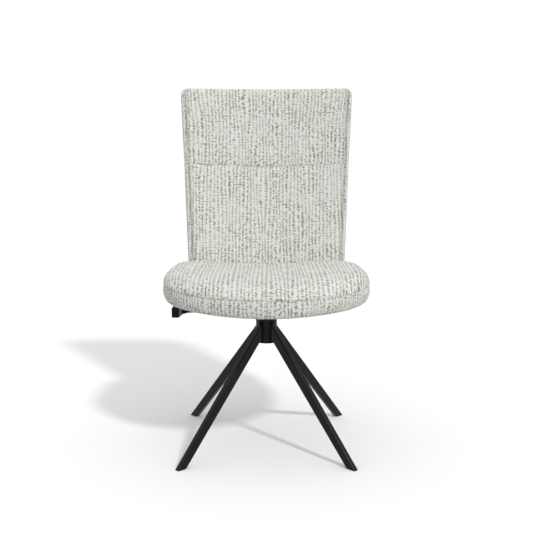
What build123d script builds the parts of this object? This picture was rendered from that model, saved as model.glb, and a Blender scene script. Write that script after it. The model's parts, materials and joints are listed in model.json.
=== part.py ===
from build123d import *
import math
import os

# Swivel dining chair: four slanted tube legs on a short hub, a tilting seat with a
# rounded cushion, a tall concave back and a lever under the seat.
# Millimetres, +Z up, the sitter faces -Y, so the sitter's left is +X. Heights are
# measured from the floor, and depths from the swivel axis, with the front negative.

os.makedirs("parts", exist_ok=True)

# ---- Driving dimensions -------------------------------------------------------------

# Base
hub_radius = 29.0
hub_wall = 3.0
hub_length = 62.0
hub_drop = 19.0            # the hub's rim below the tilting frame
leg_reach = 325.0          # swivel axis to the outer edge of a foot, at the floor
leg_joint_drop = 13.2      # a leg's upper edge below the hub's rim, where it meets the hub
leg_width = 15.0
leg_depth = 20.0           # at the floor
leg_hub_depth = 28.5       # the legs grow deeper towards the hub
leg_wall = 1.5
leg_edge_radius = 2.0
sole_thickness = 3.0
plug_length = 18.0         # how far a glide's plug goes up inside its leg

# Swivel bearing
spindle_radius = 12.5
bush_flange = 3.0
upper_bush_length = 22.0
lower_bush_length = 18.0
washer_thickness = 2.0
washer_margin = 1.0        # from the spindle's washer to the end cap's skirt
collar_radius = 27.0
end_cap_thickness = 3.0
end_cap_skirt = 6.0
clip_thickness = 1.5
clip_groove = 1.2          # depth of a clip's groove
clip_width = 3.0           # radial

# Tilt mechanism. The pivot's height carries every other height but the chair's own.
frame_drop = 18.0          # the frame's bottom below the pivot
sheet = 3.0                # pressed steel
frame_half_width = 46.0
frame_front = 80.0
frame_rear = 80.0
pivot_depth = -15.0
pivot_height = 384.0
tilt_angle = 10.0          # degrees, rearward
axle_radius = 6.0
bush_wall = 1.5
lug_radius = 14.0
lug_foot = 52.0            # width of a lug where it joins the seat plate
plate_width = 190.0
plate_length = 226.0
plate_corner = 12.0
plate_screw_inset = 17.0
spring_offset = 55.0       # behind the pivot
spring_spacing = 50.0
spring_radius = 10.0
spring_wire = 3.6
spring_pitch = 6.4
spring_post = 8.0
buffer_radius = 8.0
buffer_spacing = 50.0
front_buffer_offset = 52.0  # ahead of the pivot
rear_buffer_offset = 83.0   # behind the pivot

# Seat
seat_front = 252.0
seat_half_width = 284.0
seat_widest = 4.0          # depth at which the seat is widest
seat_rear_half_width = 258.0
seat_rear = 252.0
seat_rear_corner = 88.0
seat_rise = 14.0           # the cushion's underside above the pivot
seat_thickness = 86.0
seat_upper_round = 38.0
seat_lower_round = 24.0
seat_squareness = 2.0      # exponent of the front outline, 2 is an ellipse
board_recess = 8.0         # the board's underside above the cushion's
board_thickness = 12.0
board_inset = 30.0
board_rear = 188.0
cover_thickness = 1.0
cover_margin = 2.0

# Back
chair_height = 1000.0      # to the top corners before they are rounded
recline = 11.0             # degrees from upright
back_foot = 209.0          # depth of the front side edges at the seat's underside
back_foot_half_width = 237.0
back_middle_half_width = 247.0
back_top_half_width = 262.0
back_hollow_foot = 24.0    # how much the middle lies behind the side edges
back_hollow_top = 40.0
back_thick_foot = 70.0
back_thick_top = 50.0
foam_foot = 42.0
foam_top = 26.0
back_corner_radius = 24.0
back_edge_round = 11.0
back_board_thickness = 9.0
back_board_inset = 22.0
back_board_gap = 2.0       # board's lower end above the bend of the bar
bar_width = 60.0
bar_thickness = 6.0
bar_start = 122.0
bar_bend = 20.0
bar_length = 250.0         # along the back
bar_screw_spacing = 34.0
bar_screw_margin = 12.0
bar_screw_pitch = 36.0

# Lever
lever_depth = 15.0
lever_drop = 12.0          # the rod below the pivot
lever_angle = 25.0         # degrees, tip down
thread_lead = 11.5         # the rod's coarse thread, advance in a whole turn
pad_clearance = 0.2        # left between pad and brake plate when clamped
pad_radius = 7.0
pad_length = 14.0
socket_depth = 6.0
housing_radius = 10.0
housing_length = 40.0
rod_radius = 5.0
brake_plate_thickness = 3.0
brake_plate_front = 5.0
brake_plate_rear = 38.0
brake_plate_drop = 9.0     # below the lower frame
web_thickness = 4.0
web_width = 24.0
bracket_foot = 30.0
guide_inset = 118.0        # the rod's outer guide inside the seat's widest line
guide_width = 12.0
guide_radius = 9.0
guide_foot = 46.0
guide_foot_thickness = 4.0
guide_screw_spacing = 34.0
guide_screw_radius = 2.0
guide_screw_head = 4.0
guide_screw_length = 11.0
handle_inset = 49.5        # the handle's near face inside the seat's widest line
handle_width = 19.5
handle_reach = 72.0        # how far the handle's tip lies ahead of the swivel axis
handle_below = 7.0         # below the rod's middle
handle_above = 21.0
handle_corner = 6.0
handle_boss_length = 16.0
handle_boss_radius = 14.0
handle_arm_length = 38.0   # from the boss inwards along the rod
handle_arm_radius = 9.8
handle_arm_taper = 2.6     # degrees
handle_edge = 2.0
handle_cap = 3.0
pin_radius = 1.5

# Screws and tee nuts
screw_radius = 4.0
screw_head_radius = 7.0
screw_head = 4.0
nut_flange_radius = 11.0
nut_flange = 1.5
nut_barrel_radius = 5.5
nut_end = 2.0              # how far a nut's barrel ends before the far face

# Clearances
running = 0.05             # radial, a shaft in its bore
face_gap = 0.1             # between faces that turn on each other
seated = 0.02              # radial, pressed parts
soft_gap = 0.3             # foam to its neighbours
stop_gap = 0.3             # rubber buffers to the seat plate
hole_clearance = 0.4       # radial, a screw in a plate

# ---- Worked-out sizes ---------------------------------------------------------------

frame_bottom = pivot_height - frame_drop
hub_top = frame_bottom - hub_drop
hub_bottom = hub_top - hub_length
leg_joint_height = hub_top - leg_joint_drop
leg_length = math.hypot(leg_joint_height, leg_reach - hub_radius)
leg_growth = (leg_hub_depth - leg_depth) / leg_length
leg_slope = math.atan2(leg_joint_height, leg_reach - hub_radius) - math.atan(leg_growth / 2)
seat_underside = pivot_height + seat_rise
seat_top = seat_underside + seat_thickness
board_underside = seat_underside + board_recess
lever_height = pivot_height - lever_drop
handle_bottom = lever_height - handle_below
handle_top = lever_height + handle_above
guide_position = seat_half_width - guide_inset
handle_inner = seat_half_width - handle_inset
recline_sin = math.sin(math.radians(recline))
recline_cos = math.cos(math.radians(recline))
back_length = (chair_height - seat_underside) / recline_cos
hub_bore = hub_radius - hub_wall
spindle_end = hub_bottom + end_cap_thickness + 2
clip_bottom = spindle_end + clip_thickness
spindle_washer_bottom = clip_bottom + clip_thickness + face_gap
lower_bush_bottom = spindle_washer_bottom + washer_thickness + face_gap
bush_face = hub_top + bush_flange
collar_bottom = bush_face + washer_thickness + face_gap
frame_floor = frame_bottom + sheet
board_top = board_underside + board_thickness
plate_underside = board_underside - sheet
bar_underside = board_underside - bar_thickness
lug_inner = frame_half_width + sheet / 2
lug_outer = lug_inner + sheet
axle_clip_face = lug_outer + 2 * face_gap
axle_end = axle_clip_face + 2 * clip_thickness
spring_depth = pivot_depth + spring_offset
plate_screws = [
    (across * (plate_width / 2 - plate_screw_inset), depth * (plate_length / 2 - plate_screw_inset))
    for across in (-1, 1)
    for depth in (-1, 1)
]
bar_screws = [
    (across * bar_screw_spacing / 2, bar_start + bar_screw_margin + place * bar_screw_pitch)
    for across in (-1, 1)
    for place in (0, 1)
]
back_screws = [
    (across * bar_screw_spacing / 2, bar_length - bar_screw_margin - place * 2 * bar_screw_pitch)
    for across in (-1, 1)
    for place in (0, 1)
]
brake_face = frame_half_width + brake_plate_thickness
clamp_travel = thread_lead * lever_angle / 360
pad_face = brake_face + clamp_travel + pad_clearance
pad_end = pad_face + pad_length
rod_tip = pad_end - socket_depth
housing_face = pad_face + sheet
pad_bore_end = pad_end + 2
web_position = housing_face + housing_length / 2
handle_outer = handle_inner + handle_width


def back_share(along):
    return along / back_length


def hollow(along):
    """How far the middle of the back lies behind its side edges."""
    return back_hollow_foot + (back_hollow_top - back_hollow_foot) * back_share(along)


def foam_depth(along):
    """Depth of the back board's front face behind the upholstery's front face."""
    return foam_foot + (foam_top - foam_foot) * back_share(along)


def board_rear_depth(along):
    return foam_depth(along) + back_board_thickness


def full_depth(along):
    return back_thick_foot + (back_thick_top - back_thick_foot) * back_share(along)


def back_half_width(along):
    """The back flares slowly at first and faster towards the top."""
    share = back_share(along)
    curve = 2 * (back_foot_half_width + back_top_half_width) - 4 * back_middle_half_width
    slope = back_top_half_width - back_foot_half_width - curve
    return back_foot_half_width + slope * share + curve * share ** 2


def sagitta(across, along):
    """How far the curved back comes forward between its middle and a place beside it."""
    radius = (back_half_width(along) ** 2 + hollow(along) ** 2) / (2 * hollow(along))
    return radius - math.sqrt(radius ** 2 - across ** 2)


# ---- The back's outer form, which also sets where the swivel axis lies ---------------

def back_level(along, axis):
    """A cross-section plane of the back, so far along it from its foot."""
    depth = axis + back_foot + along * recline_sin
    height = seat_underside + along * recline_cos
    return Plane(origin=(0, depth, height), x_dir=(1, 0, 0), z_dir=(0, recline_sin, recline_cos))


def curved_band(along, axis, inset, front, rear):
    """A plan section of the back between two parallel arcs."""
    half = back_half_width(along) - inset
    middle = hollow(along)
    edge = middle - sagitta(half, along)
    with BuildSketch(back_level(along, axis)) as section:
        with BuildLine():
            near = ThreePointArc((-half, front + edge), (0, front + middle), (half, front + edge))
            far = ThreePointArc((half, rear + edge), (0, rear + middle), (-half, rear + edge))
            Line(near @ 1, far @ 0)
            Line(far @ 1, near @ 0)
        make_face()
    return section.sketch


def back_slice(axis, start, end, inset, corner, front_depth, rear_depth):
    """Loft of plan sections. Where a corner radius is given, the top corners are rounded."""
    bands = []
    for step in range(4):
        along = start + (end - start) * step / 3
        bands.append(curved_band(along, axis, inset, front_depth(along), rear_depth(along)))
    with BuildPart() as body:
        loft(sections=bands)
        if corner > 0:
            top = body.faces().sort_by(Axis.Z)[-1]
            fillet(top.edges().sort_by(SortBy.LENGTH)[:2], corner)
    return body


def back_form(axis):
    """The upholstered back as one solid, cut level at the seat's underside."""
    body = back_slice(
        axis, -bar_bend, back_length, 0.0, back_corner_radius, lambda along: 0.0, full_depth
    )
    with BuildPart() as form:
        add(body.part)
        fillet(form.edges(), back_edge_round)
        split(bisect_by=Plane.XY.offset(seat_underside), keep=Keep.TOP)
    return form


back_reach = back_form(0.0).part.bounding_box().max.Y
axis_depth = (seat_front - back_reach) / 2


def level(height):
    """A horizontal plane on the swivel axis."""
    return Plane(origin=(0, axis_depth, height))


def side(across):
    """An upright plane that faces +X. Its sketches are in depth and height."""
    return Plane(origin=(across, axis_depth, 0), x_dir=(0, 1, 0), z_dir=(1, 0, 0))


def behind(depth):
    """A plane along the back that faces rearward. Its sketches are in -X and along."""
    foot = back_level(0.0, axis_depth).origin
    return Plane(
        origin=(0, foot.Y + depth * recline_cos, foot.Z - depth * recline_sin),
        x_dir=(-1, 0, 0),
        z_dir=(0, recline_cos, -recline_sin),
    )


def write(name, piece):
    piece.part.label = name
    export_step(piece.part, f"parts/{name}.step")


def disc(plane, radius, length, bore=0.0):
    """A round solid on a plane, with an optional bore."""
    with BuildPart() as body:
        with BuildSketch(plane):
            Circle(radius)
            if bore > 0:
                Circle(bore, mode=Mode.SUBTRACT)
        extrude(amount=length)
    return body


# ---- Base: hub, legs and glides -------------------------------------------------------

with BuildPart() as hub_tube:
    with BuildSketch(level(hub_bottom)):
        Circle(hub_radius)
        Circle(hub_bore, mode=Mode.SUBTRACT)
    extrude(amount=hub_length)
    chamfer(hub_tube.edges().filter_by(GeomType.CIRCLE).group_by(SortBy.RADIUS)[-1], 0.6)
write("hub_tube", hub_tube)


def leg_plane(azimuth):
    """A plane across a leg where its centre line meets the floor."""
    cos_azimuth = math.cos(math.radians(azimuth))
    sin_azimuth = math.sin(math.radians(azimuth))
    cos_slope, sin_slope = math.cos(leg_slope), math.sin(leg_slope)
    reach = leg_reach - leg_depth / 2 / sin_slope
    return Plane(
        origin=(reach * cos_azimuth, axis_depth + reach * sin_azimuth, 0),
        x_dir=(-sin_azimuth, cos_azimuth, 0),
        z_dir=(-cos_slope * cos_azimuth, -cos_slope * sin_azimuth, sin_slope),
    )


def leg_section(azimuth, along, inset):
    """A leg's outline this far up its centre line, moved inwards by the inset."""
    depth = leg_depth + leg_growth * along
    with BuildSketch(leg_plane(azimuth).offset(along)) as section:
        RectangleRounded(leg_width - 2 * inset, depth - 2 * inset, leg_edge_radius - inset)
    return section.sketch.face()


def leg(azimuth):
    """A tube that grows deeper from the floor to the hub, both ends cut to fit."""
    ends = (-leg_depth, leg_reach / math.cos(leg_slope) - hub_radius / 2)
    with BuildPart() as body:
        loft([leg_section(azimuth, along, 0) for along in ends], ruled=True)
        bore = [leg_section(azimuth, along, leg_wall) for along in ends]
        loft(bore, ruled=True, mode=Mode.SUBTRACT)
        with BuildSketch(level(0)):
            Circle(hub_radius + seated)
        extrude(amount=hub_top + leg_reach, mode=Mode.SUBTRACT)
        split(bisect_by=Plane.XY.offset(sole_thickness), keep=Keep.TOP)
    return body


def glide(azimuth):
    """A plastic sole as wide as the leg, with a plug that goes up inside it."""
    play = 2 * (leg_wall + face_gap)
    with BuildPart() as body:
        with BuildSketch(leg_plane(azimuth).offset(-leg_depth)):
            RectangleRounded(leg_width, leg_depth, leg_edge_radius)
        extrude(amount=2 * leg_depth)
        split(bisect_by=Plane.XY.offset(sole_thickness), keep=Keep.BOTTOM)
        with BuildSketch(leg_plane(azimuth).offset(-leg_depth)):
            RectangleRounded(leg_width - play, leg_depth - play, leg_edge_radius - leg_wall + face_gap)
        extrude(amount=leg_depth + plug_length)
        split(bisect_by=Plane.XY, keep=Keep.TOP)
    return body


for place, azimuth in {"rear_left": 45, "rear_right": 135, "front_right": 225, "front_left": 315}.items():
    write(f"leg_{place}", leg(azimuth))
    write(f"glide_{place}", glide(azimuth))

# ---- Swivel bearing ---------------------------------------------------------------------

with BuildPart() as hub_end_cap:
    with BuildSketch(level(hub_bottom)):
        Circle(hub_bore - seated)
    extrude(amount=end_cap_thickness)
    with BuildSketch(level(hub_bottom + end_cap_thickness)):
        Circle(hub_bore - seated)
        Circle(hub_bore - hub_wall, mode=Mode.SUBTRACT)
    extrude(amount=end_cap_skirt)
write("hub_end_cap", hub_end_cap)

lower_bush = disc(
    level(lower_bush_bottom), hub_bore - seated, lower_bush_length, spindle_radius + running
)
write("lower_bush", lower_bush)

with BuildPart() as upper_bush:
    with BuildSketch(level(hub_top - upper_bush_length)):
        Circle(hub_bore - seated)
    extrude(amount=upper_bush_length)
    with BuildSketch(level(hub_top)):
        Circle(hub_radius)
    extrude(amount=bush_flange)
    with BuildSketch(level(hub_top - upper_bush_length)):
        Circle(spindle_radius + running)
    extrude(amount=upper_bush_length + bush_flange, mode=Mode.SUBTRACT)
write("upper_bush", upper_bush)

thrust_washer = disc(level(bush_face), collar_radius, washer_thickness, spindle_radius + face_gap)
write("thrust_washer", thrust_washer)

with BuildPart() as spindle:
    with BuildSketch(level(spindle_end)):
        Circle(spindle_radius)
    extrude(amount=collar_bottom - spindle_end)
    with BuildSketch(level(collar_bottom)):
        Circle(collar_radius)
    extrude(amount=frame_bottom - collar_bottom)
    with BuildSketch(level(clip_bottom - face_gap)):
        Circle(spindle_radius + 1)
        Circle(spindle_radius - clip_groove, mode=Mode.SUBTRACT)
    extrude(amount=clip_thickness + 2 * face_gap, mode=Mode.SUBTRACT)
write("spindle", spindle)

spindle_washer = disc(
    level(spindle_washer_bottom),
    hub_bore - hub_wall - washer_margin,
    washer_thickness,
    spindle_radius + face_gap,
)
write("spindle_washer", spindle_washer)


def retaining_clip(plane, shaft_radius):
    """A snap ring that sits in a groove, open at one side."""
    inner = shaft_radius - clip_groove + face_gap
    with BuildPart() as body:
        with BuildSketch(plane):
            Circle(inner + clip_width)
            Circle(inner, mode=Mode.SUBTRACT)
            with Locations((0, -inner)):
                Rectangle(1.2 * inner, 2 * inner, mode=Mode.SUBTRACT)
        extrude(amount=clip_thickness)
    return body


write("spindle_clip", retaining_clip(level(clip_bottom), spindle_radius))

# ---- Lower frame, which turns with the spindle ---------------------------------------

cheek_rear_top = pivot_height - (frame_rear - pivot_depth) * math.sin(math.radians(tilt_angle))
with BuildPart() as lower_frame:
    with BuildSketch(level(frame_bottom)):
        with Locations((0, (frame_rear - frame_front) / 2)):
            Rectangle(2 * frame_half_width, frame_front + frame_rear)
    extrude(amount=sheet)
    for inner_face in (-frame_half_width, frame_half_width - sheet):
        with BuildSketch(side(inner_face)):
            Polygon(
                (-frame_front, frame_bottom),
                (frame_rear, frame_bottom),
                (frame_rear, max(cheek_rear_top + 2 * sheet, frame_floor)),
                (pivot_depth + lug_radius, pivot_height + axle_radius + sheet),
                (pivot_depth - lug_radius, pivot_height + axle_radius + sheet),
                (-frame_front, frame_floor + 4 * sheet),
                align=None,
            )
        extrude(amount=sheet)
    with BuildSketch(level(frame_floor)):
        with Locations((-spring_spacing / 2, spring_depth), (spring_spacing / 2, spring_depth)):
            Circle(spring_radius - spring_wire / 2 - 2 * stop_gap)
    extrude(amount=spring_post)
    with BuildSketch(side(-frame_half_width)):
        with Locations((pivot_depth, pivot_height)):
            Circle(axle_radius + seated)
    extrude(amount=2 * frame_half_width, mode=Mode.SUBTRACT)
write("lower_frame", lower_frame)

with BuildPart() as tilt_axle:
    with BuildSketch(side(-axle_end)):
        with Locations((pivot_depth, pivot_height)):
            Circle(axle_radius)
    extrude(amount=2 * axle_end)
    for groove in (axle_clip_face - face_gap, -axle_clip_face - clip_thickness - face_gap):
        with BuildSketch(side(groove)):
            with Locations((pivot_depth, pivot_height)):
                Circle(axle_radius + 1)
                Circle(axle_radius - clip_groove, mode=Mode.SUBTRACT)
        extrude(amount=clip_thickness + 2 * face_gap, mode=Mode.SUBTRACT)
write("tilt_axle", tilt_axle)


def pivot_plane(across):
    """An upright plane that faces +X, centred on the tilt pivot."""
    return Plane(
        origin=(across, axis_depth + pivot_depth, pivot_height), x_dir=(0, 1, 0), z_dir=(1, 0, 0)
    )


with BuildPart() as axle_clips:
    add(retaining_clip(pivot_plane(axle_clip_face), axle_radius).part)
    add(retaining_clip(pivot_plane(-axle_clip_face - clip_thickness), axle_radius).part)
write("axle_clips", axle_clips)

with BuildPart() as brake_plate:
    with BuildSketch(side(-brake_face)):
        Polygon(
            (brake_plate_front, frame_bottom - brake_plate_drop),
            (brake_plate_rear, frame_bottom - brake_plate_drop),
            (brake_plate_rear, pivot_height - sheet),
            (brake_plate_front, pivot_height - sheet),
            align=None,
        )
    extrude(amount=brake_plate_thickness)
    fillet(brake_plate.edges().filter_by(Axis.X), 2 * sheet)
write("brake_plate", brake_plate)


def tilted_height(offset):
    """Underside of the seat plate, so far behind the pivot, when fully tilted."""
    angle = math.radians(tilt_angle)
    return pivot_height + (plate_underside - pivot_height) * math.cos(angle) - offset * math.sin(angle)


def buffer_pair(depth, top):
    """Two rubber stops on the lower frame."""
    with BuildPart() as body:
        with BuildSketch(level(frame_floor)):
            with Locations((-buffer_spacing / 2, depth), (buffer_spacing / 2, depth)):
                Circle(buffer_radius)
        extrude(amount=top - frame_floor)
    return body


write("front_buffers", buffer_pair(pivot_depth - front_buffer_offset, plate_underside - stop_gap))
write(
    "rear_buffers",
    buffer_pair(
        pivot_depth + rear_buffer_offset, tilted_height(rear_buffer_offset + buffer_radius) - stop_gap
    ),
)


def coil(across):
    """A round-wire compression spring between the lower frame and the seat plate."""
    start = frame_floor + spring_wire / 2 + face_gap
    rise = plate_underside - frame_floor - spring_wire - 2 * face_gap
    foot = Plane(origin=(across, axis_depth + spring_depth, start))
    with BuildPart() as body:
        with BuildLine(foot) as wire:
            Helix(spring_pitch, rise, spring_radius)
        with BuildSketch(Plane(origin=wire.line @ 0, z_dir=wire.line % 0)):
            Circle(spring_wire / 2)
        sweep(path=wire.line, is_frenet=True)
    return body


with BuildPart() as tilt_springs:
    add(coil(-spring_spacing / 2).part)
    add(coil(spring_spacing / 2).part)
write("tilt_springs", tilt_springs)

# ---- Seat plate, which tilts on the axle --------------------------------------------

with BuildPart() as seat_plate:
    with BuildSketch(level(plate_underside)):
        RectangleRounded(plate_width, plate_length, plate_corner)
        with Locations(*plate_screws):
            Circle(screw_radius + hole_clearance, mode=Mode.SUBTRACT)
    extrude(amount=sheet)
    for inner_face in (lug_inner, -lug_outer):
        with BuildSketch(side(inner_face)):
            with Locations((pivot_depth, pivot_height)):
                Circle(lug_radius)
            Polygon(
                (pivot_depth - lug_radius, pivot_height),
                (pivot_depth + lug_radius, pivot_height),
                (pivot_depth + lug_foot / 2, plate_underside + sheet / 2),
                (pivot_depth - lug_foot / 2, plate_underside + sheet / 2),
                align=None,
            )
            with Locations((pivot_depth, pivot_height)):
                Circle(axle_radius + bush_wall + seated, mode=Mode.SUBTRACT)
        extrude(amount=sheet)
write("seat_plate", seat_plate)


def axle_bush(flange_face, barrel_face, flange_length):
    """A flanged bush: a thin flange beside the frame and a barrel through the lug."""
    with BuildPart() as body:
        with BuildSketch(pivot_plane(flange_face)):
            Circle(axle_radius + 3 * bush_wall)
            Circle(axle_radius + running, mode=Mode.SUBTRACT)
        extrude(amount=flange_length)
        with BuildSketch(pivot_plane(barrel_face)):
            Circle(axle_radius + bush_wall)
            Circle(axle_radius + running, mode=Mode.SUBTRACT)
        extrude(amount=sheet)
    return body


flange_length = lug_inner - frame_half_width - face_gap
with BuildPart() as axle_bushes:
    add(axle_bush(frame_half_width + face_gap, lug_inner, flange_length).part)
    add(axle_bush(-lug_inner, -lug_outer, flange_length).part)
write("axle_bushes", axle_bushes)

# ---- Lever, brake pad and what carries them -------------------------------------------

def lever_plane(across):
    """An upright plane that faces +X, centred on the lever's rod."""
    return Plane(
        origin=(across, axis_depth + lever_depth, lever_height), x_dir=(0, 1, 0), z_dir=(1, 0, 0)
    )


with BuildPart() as lever_bracket:
    with BuildSketch(lever_plane(-housing_face - housing_length)):
        Circle(housing_radius)
    extrude(amount=housing_length)
    with BuildSketch(side(-web_position - web_thickness / 2)):
        with Locations((lever_depth, (lever_height + plate_underside) / 2)):
            Rectangle(web_width, plate_underside - lever_height)
    extrude(amount=web_thickness)
    with BuildSketch(level(plate_underside - sheet)):
        with Locations((-web_position, lever_depth)):
            Rectangle(bracket_foot, web_width)
    extrude(amount=sheet)
    with BuildSketch(lever_plane(-pad_bore_end)):
        Circle(pad_radius + running)
    extrude(amount=pad_bore_end, mode=Mode.SUBTRACT)
    with BuildSketch(lever_plane(-housing_face - housing_length)):
        Circle(rod_radius + running)
    extrude(amount=housing_length, mode=Mode.SUBTRACT)
write("lever_bracket", lever_bracket)

with BuildPart() as brake_pad:
    with BuildSketch(lever_plane(-pad_end)):
        Circle(pad_radius)
    extrude(amount=pad_length)
    with BuildSketch(lever_plane(-pad_end)):
        Circle(rod_radius + face_gap)
    extrude(amount=socket_depth + face_gap, mode=Mode.SUBTRACT)
write("brake_pad", brake_pad)

pin_position = handle_inner - handle_boss_length - handle_arm_length / 3
with BuildPart() as lever_rod:
    with BuildSketch(lever_plane(handle_cap - handle_outer)):
        Circle(rod_radius)
    extrude(amount=handle_outer - handle_cap - rod_tip)
    with BuildSketch(level(lever_height - rod_radius)):
        with Locations((-pin_position, lever_depth)):
            Circle(pin_radius + seated)
    extrude(amount=2 * rod_radius, mode=Mode.SUBTRACT)
write("lever_rod", lever_rod)

with BuildPart() as lever_handle:
    with BuildSketch(side(-handle_outer)):
        with Locations((lever_depth, lever_height)):
            Circle(handle_boss_radius + handle_edge)
        with Locations(
            (handle_corner - handle_reach, handle_bottom + handle_corner),
            (handle_corner - handle_reach, handle_top - handle_corner),
        ):
            Circle(handle_corner)
        make_hull()
    extrude(amount=handle_width)
    fillet(lever_handle.edges().group_by(Axis.X)[0], handle_edge)
    fillet(lever_handle.edges().group_by(Axis.X)[-1], handle_edge)
    flare = math.atan2(handle_boss_radius - handle_arm_radius, handle_boss_length)
    with BuildSketch(lever_plane(-handle_inner)):
        Circle(handle_boss_radius)
    extrude(amount=handle_boss_length, taper=math.degrees(flare))
    with BuildSketch(lever_plane(handle_boss_length - handle_inner)):
        Circle(handle_arm_radius)
    extrude(amount=handle_arm_length, taper=handle_arm_taper)
    with BuildSketch(lever_plane(handle_cap - handle_outer)):
        Circle(rod_radius + seated)
    extrude(amount=handle_width + handle_boss_length + handle_arm_length, mode=Mode.SUBTRACT)
    with BuildSketch(level(lever_height - handle_boss_radius)):
        with Locations((-pin_position, lever_depth)):
            Circle(pin_radius + seated)
    extrude(amount=2 * handle_boss_radius, mode=Mode.SUBTRACT)
write("lever_handle", lever_handle)

pin_half_length = handle_arm_radius - handle_edge
with BuildPart() as handle_pin:
    with BuildSketch(level(lever_height - pin_half_length)):
        with Locations((-pin_position, lever_depth)):
            Circle(pin_radius)
    extrude(amount=2 * pin_half_length)
write("handle_pin", handle_pin)

guide_screws_at = [
    (-guide_position, lever_depth - guide_screw_spacing / 2),
    (-guide_position, lever_depth + guide_screw_spacing / 2),
]
with BuildPart() as lever_guide:
    with BuildSketch(side(-guide_position - guide_width / 2)):
        with Locations((lever_depth, lever_height)):
            Circle(guide_radius)
        with Locations((lever_depth, (lever_height + board_underside) / 2)):
            Rectangle(2 * guide_radius, board_underside - lever_height)
        with Locations((lever_depth, board_underside - guide_foot_thickness / 2)):
            Rectangle(guide_foot, guide_foot_thickness)
        with Locations((lever_depth, lever_height)):
            Circle(rod_radius + running, mode=Mode.SUBTRACT)
    extrude(amount=guide_width)
    with BuildSketch(level(board_underside - guide_foot_thickness)):
        with Locations(*guide_screws_at):
            Circle(guide_screw_radius + seated)
    extrude(amount=guide_foot_thickness, mode=Mode.SUBTRACT)
write("lever_guide", lever_guide)

with BuildPart() as guide_screws:
    guide_underside = board_underside - guide_foot_thickness
    with BuildSketch(level(guide_underside - guide_screw_head / 2)):
        with Locations(*guide_screws_at):
            Circle(guide_screw_head)
    extrude(amount=guide_screw_head / 2)
    with BuildSketch(level(guide_underside)):
        with Locations(*guide_screws_at):
            Circle(guide_screw_radius)
    extrude(amount=guide_screw_length)
write("guide_screws", guide_screws)

# ---- Seat board, its screws and the cover under it --------------------------------------

def seat_outline(inset, rear):
    """Plan of the seat: a blunt rounded front, widest near the axis, tapering rearward."""
    front_length = seat_front + seat_widest - inset
    rear_length = seat_rear - seat_widest - inset
    taper = seat_half_width - seat_rear_half_width
    points = []
    for step in range(6):
        turn = math.radians(90 * step / 5)
        across = (seat_half_width - inset) * math.sin(turn) ** (2 / seat_squareness)
        forward = front_length * math.cos(turn) ** (2 / seat_squareness)
        points.append((across, seat_widest - forward))
    for share in (0.35, 0.7, 1.0):
        across = seat_half_width - inset - taper * share ** 2
        points.append((across, seat_widest + rear_length * share))
    with BuildSketch(level(0)) as outline:
        with BuildLine():
            border = Spline(*points, tangents=((1, 0), (-2 * taper / rear_length, 1)))
            Line(border @ 1, (0, seat_rear - inset))
            mirror(about=Plane.YZ)
        make_face()
        fillet(outline.vertices().group_by(Axis.Y)[-1], seat_rear_corner - inset)
        with Locations((0, rear + seat_rear)):
            Rectangle(4 * seat_half_width, 2 * seat_rear, mode=Mode.SUBTRACT)
    return outline.sketch


def seat_slab(inset, rear, bottom, top):
    """A slab with the seat's outline, moved in by the inset and cut off at the rear."""
    with BuildPart() as slab:
        with BuildSketch(Plane.XY.offset(bottom)):
            add(seat_outline(inset, rear))
        extrude(amount=top - bottom)
    return slab


seat_screws = plate_screws + bar_screws
with BuildPart() as seat_board:
    add(seat_slab(board_inset, board_rear, board_underside, board_top).part)
    with BuildSketch(level(board_underside)):
        with Locations(*seat_screws):
            Circle(nut_barrel_radius + face_gap)
    extrude(amount=board_thickness, mode=Mode.SUBTRACT)
    with BuildSketch(level(board_top - nut_flange)):
        with Locations(*seat_screws):
            Circle(nut_flange_radius + face_gap)
    extrude(amount=nut_flange, mode=Mode.SUBTRACT)
    with BuildSketch(level(board_underside)):
        with Locations(*guide_screws_at):
            Circle(guide_screw_radius + seated)
    extrude(amount=board_thickness, mode=Mode.SUBTRACT)
write("seat_board", seat_board)

with BuildPart() as seat_tee_nuts:
    with BuildSketch(level(board_top - nut_flange)):
        with Locations(*seat_screws):
            Circle(nut_flange_radius)
            Circle(screw_radius + running, mode=Mode.SUBTRACT)
    extrude(amount=nut_flange)
    with BuildSketch(level(board_underside + nut_end)):
        with Locations(*seat_screws):
            Circle(nut_barrel_radius)
            Circle(screw_radius + running, mode=Mode.SUBTRACT)
    extrude(amount=board_thickness - nut_end - nut_flange)
write("seat_tee_nuts", seat_tee_nuts)


def machine_screws(places, seat_height):
    """Screws with flat round heads that come up from below."""
    with BuildPart() as body:
        with BuildSketch(level(seat_height - screw_head)):
            with Locations(*places):
                Circle(screw_head_radius)
        extrude(amount=screw_head)
        with BuildSketch(level(seat_height)):
            with Locations(*places):
                Circle(screw_radius)
        extrude(amount=board_top - nut_flange - seat_height)
    return body


write("seat_plate_screws", machine_screws(plate_screws, plate_underside))
write("back_bar_screws", machine_screws(bar_screws, bar_underside))

cover_bottom = board_underside - cover_thickness
with BuildPart() as seat_dust_cover:
    add(seat_slab(board_inset + cover_margin, board_rear - cover_margin, cover_bottom, board_underside).part)
    with BuildSketch(level(cover_bottom)):
        Rectangle(plate_width + 2 * cover_margin, plate_length + 2 * cover_margin)
        with Locations((0, bar_start - cover_margin + board_rear / 2)):
            Rectangle(bar_width + 2 * cover_margin, board_rear)
        with Locations((-guide_position, lever_depth)):
            Rectangle(guide_width + 2 * cover_margin, guide_foot + 2 * cover_margin)
    extrude(amount=cover_thickness, mode=Mode.SUBTRACT)
write("seat_dust_cover", seat_dust_cover)

# ---- Back bar: a flat steel bar that carries the back -----------------------------------

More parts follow.
